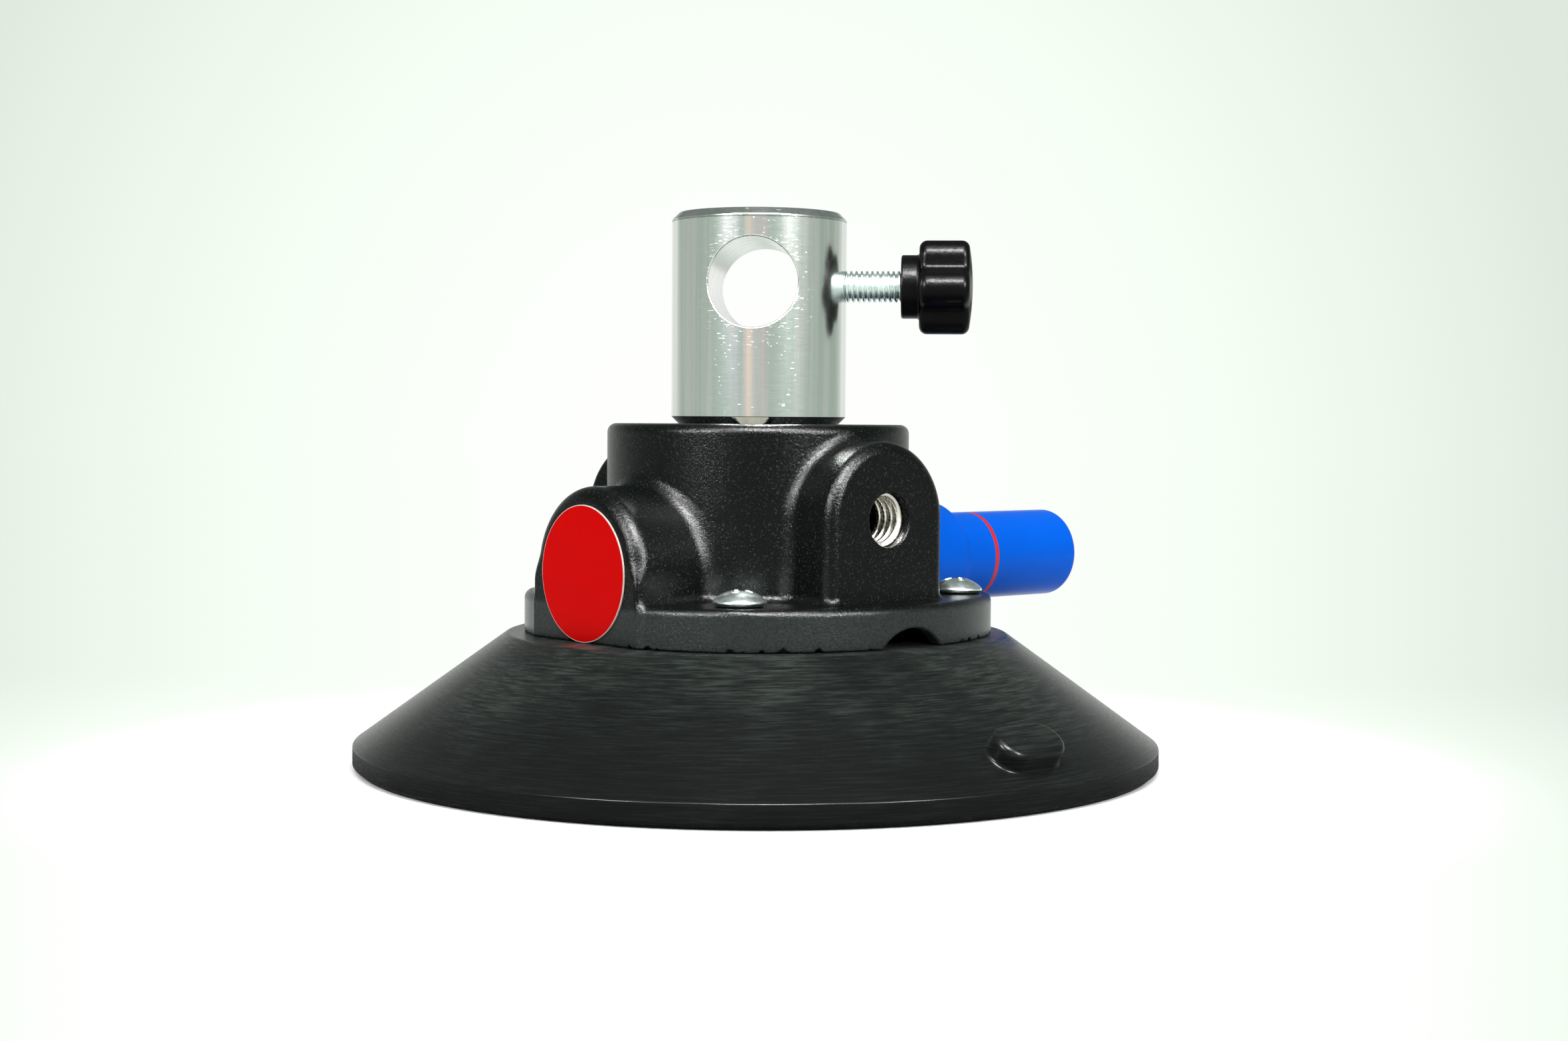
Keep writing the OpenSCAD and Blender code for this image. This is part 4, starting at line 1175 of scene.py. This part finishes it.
# %% [markdown]
# ## The lobed knob
#
# Its plan is five circles joined to a core with fillets, as a distance field in two dimensions. The knob
# is a loft of rings of that plan, each set in by what the edge's rounding asks for. A ring's points are
# found on their rays by bisection: halving the stretch between the axis and open air, 40 times.

# %% The knob's plan
CORE_R = 6.55
LOBES, FIRST_LOBE = 5, -12
LOBE_R, LOBE_AT_R, LOBE_FILLET = 3.3, 5.8, 1.3
OPEN_AIR_R = 12.0


def knob_plan_field(x, y):
    plan = np.hypot(x, y) - CORE_R
    for lobe in range(LOBES):
        a = math.radians(FIRST_LOBE + 360 / LOBES * lobe)
        circle = np.hypot(x - LOBE_AT_R * math.cos(a), y - LOBE_AT_R * math.sin(a)) - LOBE_R
        plan = join(plan, circle, LOBE_FILLET)
    return plan


def knob_ring(inset, angle):
    """How far from the axis the plan, drawn in by the inset, reaches at each angle."""
    near = np.zeros_like(angle)
    far = np.full_like(angle, OPEN_AIR_R)
    for _ in range(40):
        middle = (near + far) / 2
        outside = knob_plan_field(middle * np.cos(angle), middle * np.sin(angle)) > -inset
        far = np.where(outside, middle, far)
        near = np.where(outside, near, middle)
    return near


# %% Knob and hub
HUB_R, HUB_Z, HEAD_Z, KNOB_TOP = 6.0, 27.0, 30.4, 40.5
KNOB_EDGE, KNOB_DOME = 1.5, 0.6


def knob_shape():
    angle = np.linspace(0, 2 * math.pi, 241)

    def level(radius, height):
        return np.stack([radius * np.cos(angle), radius * np.sin(angle), height + 0.0 * angle], axis=1)

    under_head = (HUB_R + 1.5, HEAD_Z, 0)
    hub, _ = outline([(0.0, HUB_Z, 0), (HUB_R, HUB_Z, 0.4), (HUB_R, HEAD_Z, 0.5), under_head], closed=False)
    rows = [level(radius, height) for radius, height in hub[:-1]]
    quarter = np.radians(np.linspace(0, 90, 7))
    for a in quarter:
        plan = knob_ring(KNOB_EDGE * (1 - math.sin(a)), angle)
        rows.append(level(plan, HEAD_Z + KNOB_EDGE * (1 - math.cos(a))))
    for a in quarter[::-1]:
        plan = knob_ring(KNOB_EDGE * (1 - math.sin(a)), angle)
        rows.append(level(plan, KNOB_TOP - KNOB_DOME - KNOB_EDGE * (1 - math.cos(a))))
    last = knob_ring(KNOB_EDGE, angle)
    for share in (0.85, 0.6, 0.3, 0.0):
        radius = last * share
        rows.append(level(radius, KNOB_TOP - KNOB_DOME * (radius / last.max())**2))
    return surface(rows)


knob = knob_shape()
piece("lobed_knob", knob.placed(CLAMP_FRAME, CLAMP_AT), "clamp_grip", "knob_plastic", ["clamp_knob"])

# %% [markdown]
# ## Screw heads and the disc
#
# The four pan heads are one small field, meshed once and placed four times, each turned as far as it
# happened to be driven. The disc is a slip of vinyl with a barely rounded edge.

# %% A pan head with a cross recess
HEAD_R, HEAD_TOP, HEAD_FOOT_EDGE, HEAD_RIM_EDGE = 4.85, 3.0, 1.1, 0.2
DOME_RISE = 2.1
DOME_R = (HEAD_R**2 + DOME_RISE**2) / (2 * DOME_RISE)
ARM_HALF, ARM_REACH, ARM_EDGE = 0.62, 2.5, 0.2
RECESS_TAPER, HALF_TAPER, REACH_TAPER = 0.22, 0.35, 1.6
RECESS_FLOOR, RECESS_CORNER, RECESS_EDGE = 1.2, 0.35, 0.12


def head_field(x, y, z):
    dome = np.sqrt(x * x + y * y + (z - (HEAD_TOP - DOME_R))**2) - DOME_R
    head = meet(meet(np.hypot(x, y) - HEAD_R, dome, HEAD_RIM_EDGE), -z, HEAD_FOOT_EDGE)
    slope = (HEAD_TOP - z) * RECESS_TAPER

    def arm(along, across):
        half = np.abs(across) - ARM_HALF + slope * HALF_TAPER
        return meet(half, np.abs(along) - ARM_REACH + slope * REACH_TAPER, ARM_EDGE)

    recess = np.maximum(join(arm(x, y), arm(y, x), RECESS_CORNER), RECESS_FLOOR - z)
    return cut(head, recess, RECESS_EDGE)


HEAD_VOXEL = 0.13
head = mesh_of_field(head_field, (-HEAD_R, -HEAD_R, 0.0), (HEAD_R, HEAD_R, HEAD_TOP), HEAD_VOXEL)

# %% Four screws at the flange's corners
SHANK_R, SHANK_FOOT = 2.5, 17.0 - FLANGE_TOP
HEAD_TURNS = (12, 48, 27, 71)
shank = lathe([(0.0, SHANK_FOOT, 0), (SHANK_R, SHANK_FOOT, 0.3), (SHANK_R, 0.3, 0)], closed=False, sides=24)
screws = []
for corner, turn in enumerate(HEAD_TURNS):
    spin = np.array(Matrix.Rotation(math.radians(turn), 3, "Z"))
    way = math.radians(45 + 90 * corner)
    spot = (SCREW_R * math.cos(way), SCREW_R * math.sin(way), FLANGE_TOP)
    screws.append((head + shank).placed(spin, spot))
piece("pan_head_screws", sum(screws[1:], screws[0]), "base", "zinc_steel", ["flange_screws"])

# %% Vinyl disc
DISC_THICK = 0.3
BACKWARDS = np.array([[0, 0, -1], [0, 1, 0], [1, 0, 0]])
disc = lathe([
    (0.0, 0.0, 0),
    (DISC_R, 0.0, 0.05),
    (DISC_R, DISC_THICK, 0.12),
    (0.0, DISC_THICK, 0),
], closed=False)
piece("vinyl_disc", disc.placed(BACKWARDS, (-BARREL_END, 0, BARREL_Z)), "base", "red_vinyl", ["label_disc"])

# %% [markdown]
# ## A plain pale studio
#
# The floor is white and so is the wall. Pushing the lamps up until they clip would burn the metal too, so
# the lamps stay at a level where colours render as written, and only the rays that go straight to the
# camera see white. What polished metal mirrors is a third thing: a greener room with a darker ceiling,
# and low stripes behind the camera that a plain wall wouldn't give it. Half of the lamps are seen only in
# highlights and light no paint.

# %% One tone for wall and floor
AHEAD = forward
RIGHT = Vector((AHEAD.y, -AHEAD.x, 0.0)).normalized()
UP = RIGHT.cross(AHEAD)
LEVEL_AHEAD = Vector((AHEAD.x, AHEAD.y, 0.0)).normalized()
FADE_ASIDE, LEAN_ASIDE, FADE_UP = 0.90, 0.035, 0.65
DARKEST_WALL = 0.87
GREEN_LIFT, BLUE_DROP = 0.040, 0.004
DISPLAY_GAMMA = 2.2


def against(x, y, z, axis):
    """How far a direction reaches along a fixed axis of the room."""
    return x * axis.x + y * axis.y + z * axis.z


def room_tone(nodes, x, y, z, lift=0.0):
    """The pale tone seen along a direction: white in the middle, a little grey and green to the sides."""
    depth = against(x, y, z, AHEAD)
    side = against(x, y, z, RIGHT) / depth
    rise = against(x, y, z, UP) / depth
    level = 1.0 - side * side * FADE_ASIDE - side * LEAN_ASIDE - rise * rise * FADE_UP + lift
    level = level.math("MAXIMUM", level, DARKEST_WALL)
    red = level.math("MINIMUM", level, 1.0)**DISPLAY_GAMMA
    green = level.math("MINIMUM", level + GREEN_LIFT, 1.0)**DISPLAY_GAMMA
    blue = level.math("MINIMUM", level - BLUE_DROP, 1.0)**DISPLAY_GAMMA
    return nodes.add("CombineColor", None, {0: red, 1: green, 2: blue})


def light_path(nodes, kind):
    path = nodes.add("LightPath")
    return Wire(nodes, path.socket.node.outputs[kind])


# %% World
ROOM_AHEAD, ROOM_BEHIND = (0.98, 1.0, 0.97, 1), (0.50, 0.57, 0.51, 1)
CEILING, AMBIENT = (0.20, 0.23, 0.21, 1), (0.40, 0.41, 0.40, 1)

# Left edge, right edge, blur, strength and colour, where -1 is full left and 1 is full right of the camera.
STRIPES = [
    (-0.80, -0.36, 0.06, 0.6, (0.42, 0.50, 0.52, 1)),
    (-0.28, -0.14, 0.03, 1.0, (1.0, 0.80, 0.62, 1)),
    (0.07, 0.19, 0.04, 0.7, (0.66, 0.50, 0.52, 1)),
]


def studio_world():
    world = bpy.data.worlds.new("pale_studio")
    bpy.context.scene.world = world
    world.cycles.sampling_method = "NONE"
    nodes = Nodes(world)
    x, y, z = nodes.split(nodes.add("TexCoord", output="Generated"))
    wall = room_tone(nodes, x, y, z)
    ahead = against(x, y, z, LEVEL_AHEAD)
    side = against(x, y, z, RIGHT)
    room = nodes.mix(nodes.step(ahead, 0.5, 0.85), ROOM_BEHIND, ROOM_AHEAD)
    room = nodes.mix(nodes.step(z, 0.05, 0.40), room, CEILING)
    low_behind = (1 - nodes.step(z, 0.08, 0.16)) * (1 - nodes.step(ahead, -0.75, -0.45))
    for left, right, blur, strength, colour in STRIPES:
        past_left = nodes.step(side, left - blur, left + blur)
        past_right = nodes.step(side, right - blur, right + blur)
        room = nodes.mix(past_left * (1 - past_right) * low_behind * strength, room, colour)
    ambient = nodes.mix(light_path(nodes, "Is Glossy Ray"), AMBIENT, room)
    seen = nodes.mix(light_path(nodes, "Is Camera Ray"), ambient, wall)
    background = nodes.add("Background", None, {"Color": seen, "Strength": 1.0})
    nodes.add("OutputWorld", None, {"Surface": background})
    print("world uses", len(nodes.tree.nodes), "nodes")


studio_world()


# %% The floor's paper
# In mirrors, paper near the cup is a painted pool of light, and right under it a painted shadow.
PAINTED_LAMPLIT_PAPER, PAPER_FAR = (1.10, 1.15, 1.10, 1), ROOM_BEHIND
PAINTED_SHADOW_UNDER_CUP = 0.02
NEAR_LIFT, NEAR_FADE_ASIDE = 0.10, 0.20
LEAST_GLOW = 0.12


def paper_material():
    """White to the camera, with the lamps' real shadow near the cup. In mirrors it has a tone of its own:
    a painted pool of light round the cup, and a painted shadow right under it.
    """
    paper = bpy.data.materials.new("white_paper")
    paper.cycles.emission_sampling = "NONE"
    nodes = Nodes(paper)
    x, y, z = nodes.split(nodes.add("TexCoord", output="Object"))
    dx, dy, dz = x - CAMERA_AT.x, y - CAMERA_AT.y, z - CAMERA_AT.z
    depth = against(dx, dy, dz, AHEAD)
    near = 1 - nodes.step(depth, 0.34, 0.60)
    aside = against(dx, dy, dz, RIGHT) / depth
    tone = room_tone(nodes, dx, dy, 0.0 * dz, near * (NEAR_LIFT - NEAR_FADE_ASIDE * aside * aside))
    away = (x * x + y * y)**0.5
    share = LEAST_GLOW + (1 - LEAST_GLOW) * nodes.step(away, 0.079, 0.15)
    glow = nodes.add("Emission", None, {"Color": tone, "Strength": 1.0})
    bright = nodes.add("BsdfDiffuse", None, {"Color": grey(1.0)})
    plain = nodes.add("BsdfDiffuse", None, {"Color": grey(0.8)})
    shown = nodes.add("MixShader", None, {0: share, 1: bright, 2: glow})
    # Mirrored tone: a painted pool of light near the cup and a painted shadow right under it.
    mirror_tone = nodes.mix(nodes.step(away, 0.5, 1.3), PAINTED_LAMPLIT_PAPER, PAPER_FAR)
    mirror_tone = nodes.mix(nodes.step(away, 0.076, 0.12), grey(PAINTED_SHADOW_UNDER_CUP), mirror_tone)
    mirrored = nodes.add("Emission", None, {"Color": mirror_tone, "Strength": 1.0})
    unseen = nodes.add("MixShader", None, {0: light_path(nodes, "Is Glossy Ray"), 1: plain, 2: mirrored})
    either = nodes.add("MixShader", None, {0: light_path(nodes, "Is Camera Ray"), 1: unseen, 2: shown})
    nodes.add("OutputMaterial", None, {"Surface": either})
    print("paper uses", len(nodes.tree.nodes), "nodes")
    return paper


# %% The floor
FLOOR_R, FLOOR_SIDES = 3.0, 96
floor_turn = np.arange(FLOOR_SIDES) * 2 * math.pi / FLOOR_SIDES
floor_corners = [(FLOOR_R * math.cos(a), FLOOR_R * math.sin(a), 0.0) for a in floor_turn]
floor_mesh = bpy.data.meshes.new("studio_floor")
floor_mesh.from_pydata(floor_corners, [], [list(range(FLOOR_SIDES))])
floor_mesh.materials.append(paper_material())
floor = bpy.data.objects.new("studio_floor", floor_mesh)
bpy.context.scene.collection.objects.link(floor)


# %% Lamps
LAMPS_AIM = Vector((0, 0, 0.04))


def softbox(name, place, size, power, only_shine):
    """A lamp in a box that faces the cup. One that only shines is seen in gloss but lights no paint."""
    lamp = bpy.data.lights.new(name, "AREA")
    lamp.shape = "RECTANGLE"
    lamp.size, lamp.size_y = size
    lamp.energy = power
    holder = bpy.data.objects.new(name, lamp)
    holder.visible_diffuse = not only_shine
    bpy.context.scene.collection.objects.link(holder)
    turn = (LAMPS_AIM - place).to_track_quat("-Z", "Y")
    holder.matrix_world = Matrix.Translation(place) @ turn.to_matrix().to_4x4()


def around(turn, distance, height):
    """A place at this turn to the right of the camera, seen from the cup."""
    a = math.atan2(-AHEAD.y, -AHEAD.x) + math.radians(turn)
    return Vector((distance * math.cos(a), distance * math.sin(a), height))


softbox("overhead_box", around(4, 0.35, 0.85), (0.8, 0.4), 8.0, only_shine=False)
softbox("right_box", around(43, 0.80, 0.66), (0.2, 0.3), 4.0, only_shine=False)
softbox("left_box", around(-45, 0.80, 0.66), (0.2, 0.3), 3.0, only_shine=False)
softbox("overhead_shine", around(6, 0.62, 0.78), (0.4, 0.16), 72.0, only_shine=True)
softbox("right_shine", around(43, 0.84, 0.46), (0.12, 0.16), 30.0, only_shine=True)
softbox("left_shine", around(-42, 0.84, 0.46), (0.12, 0.16), 26.0, only_shine=True)
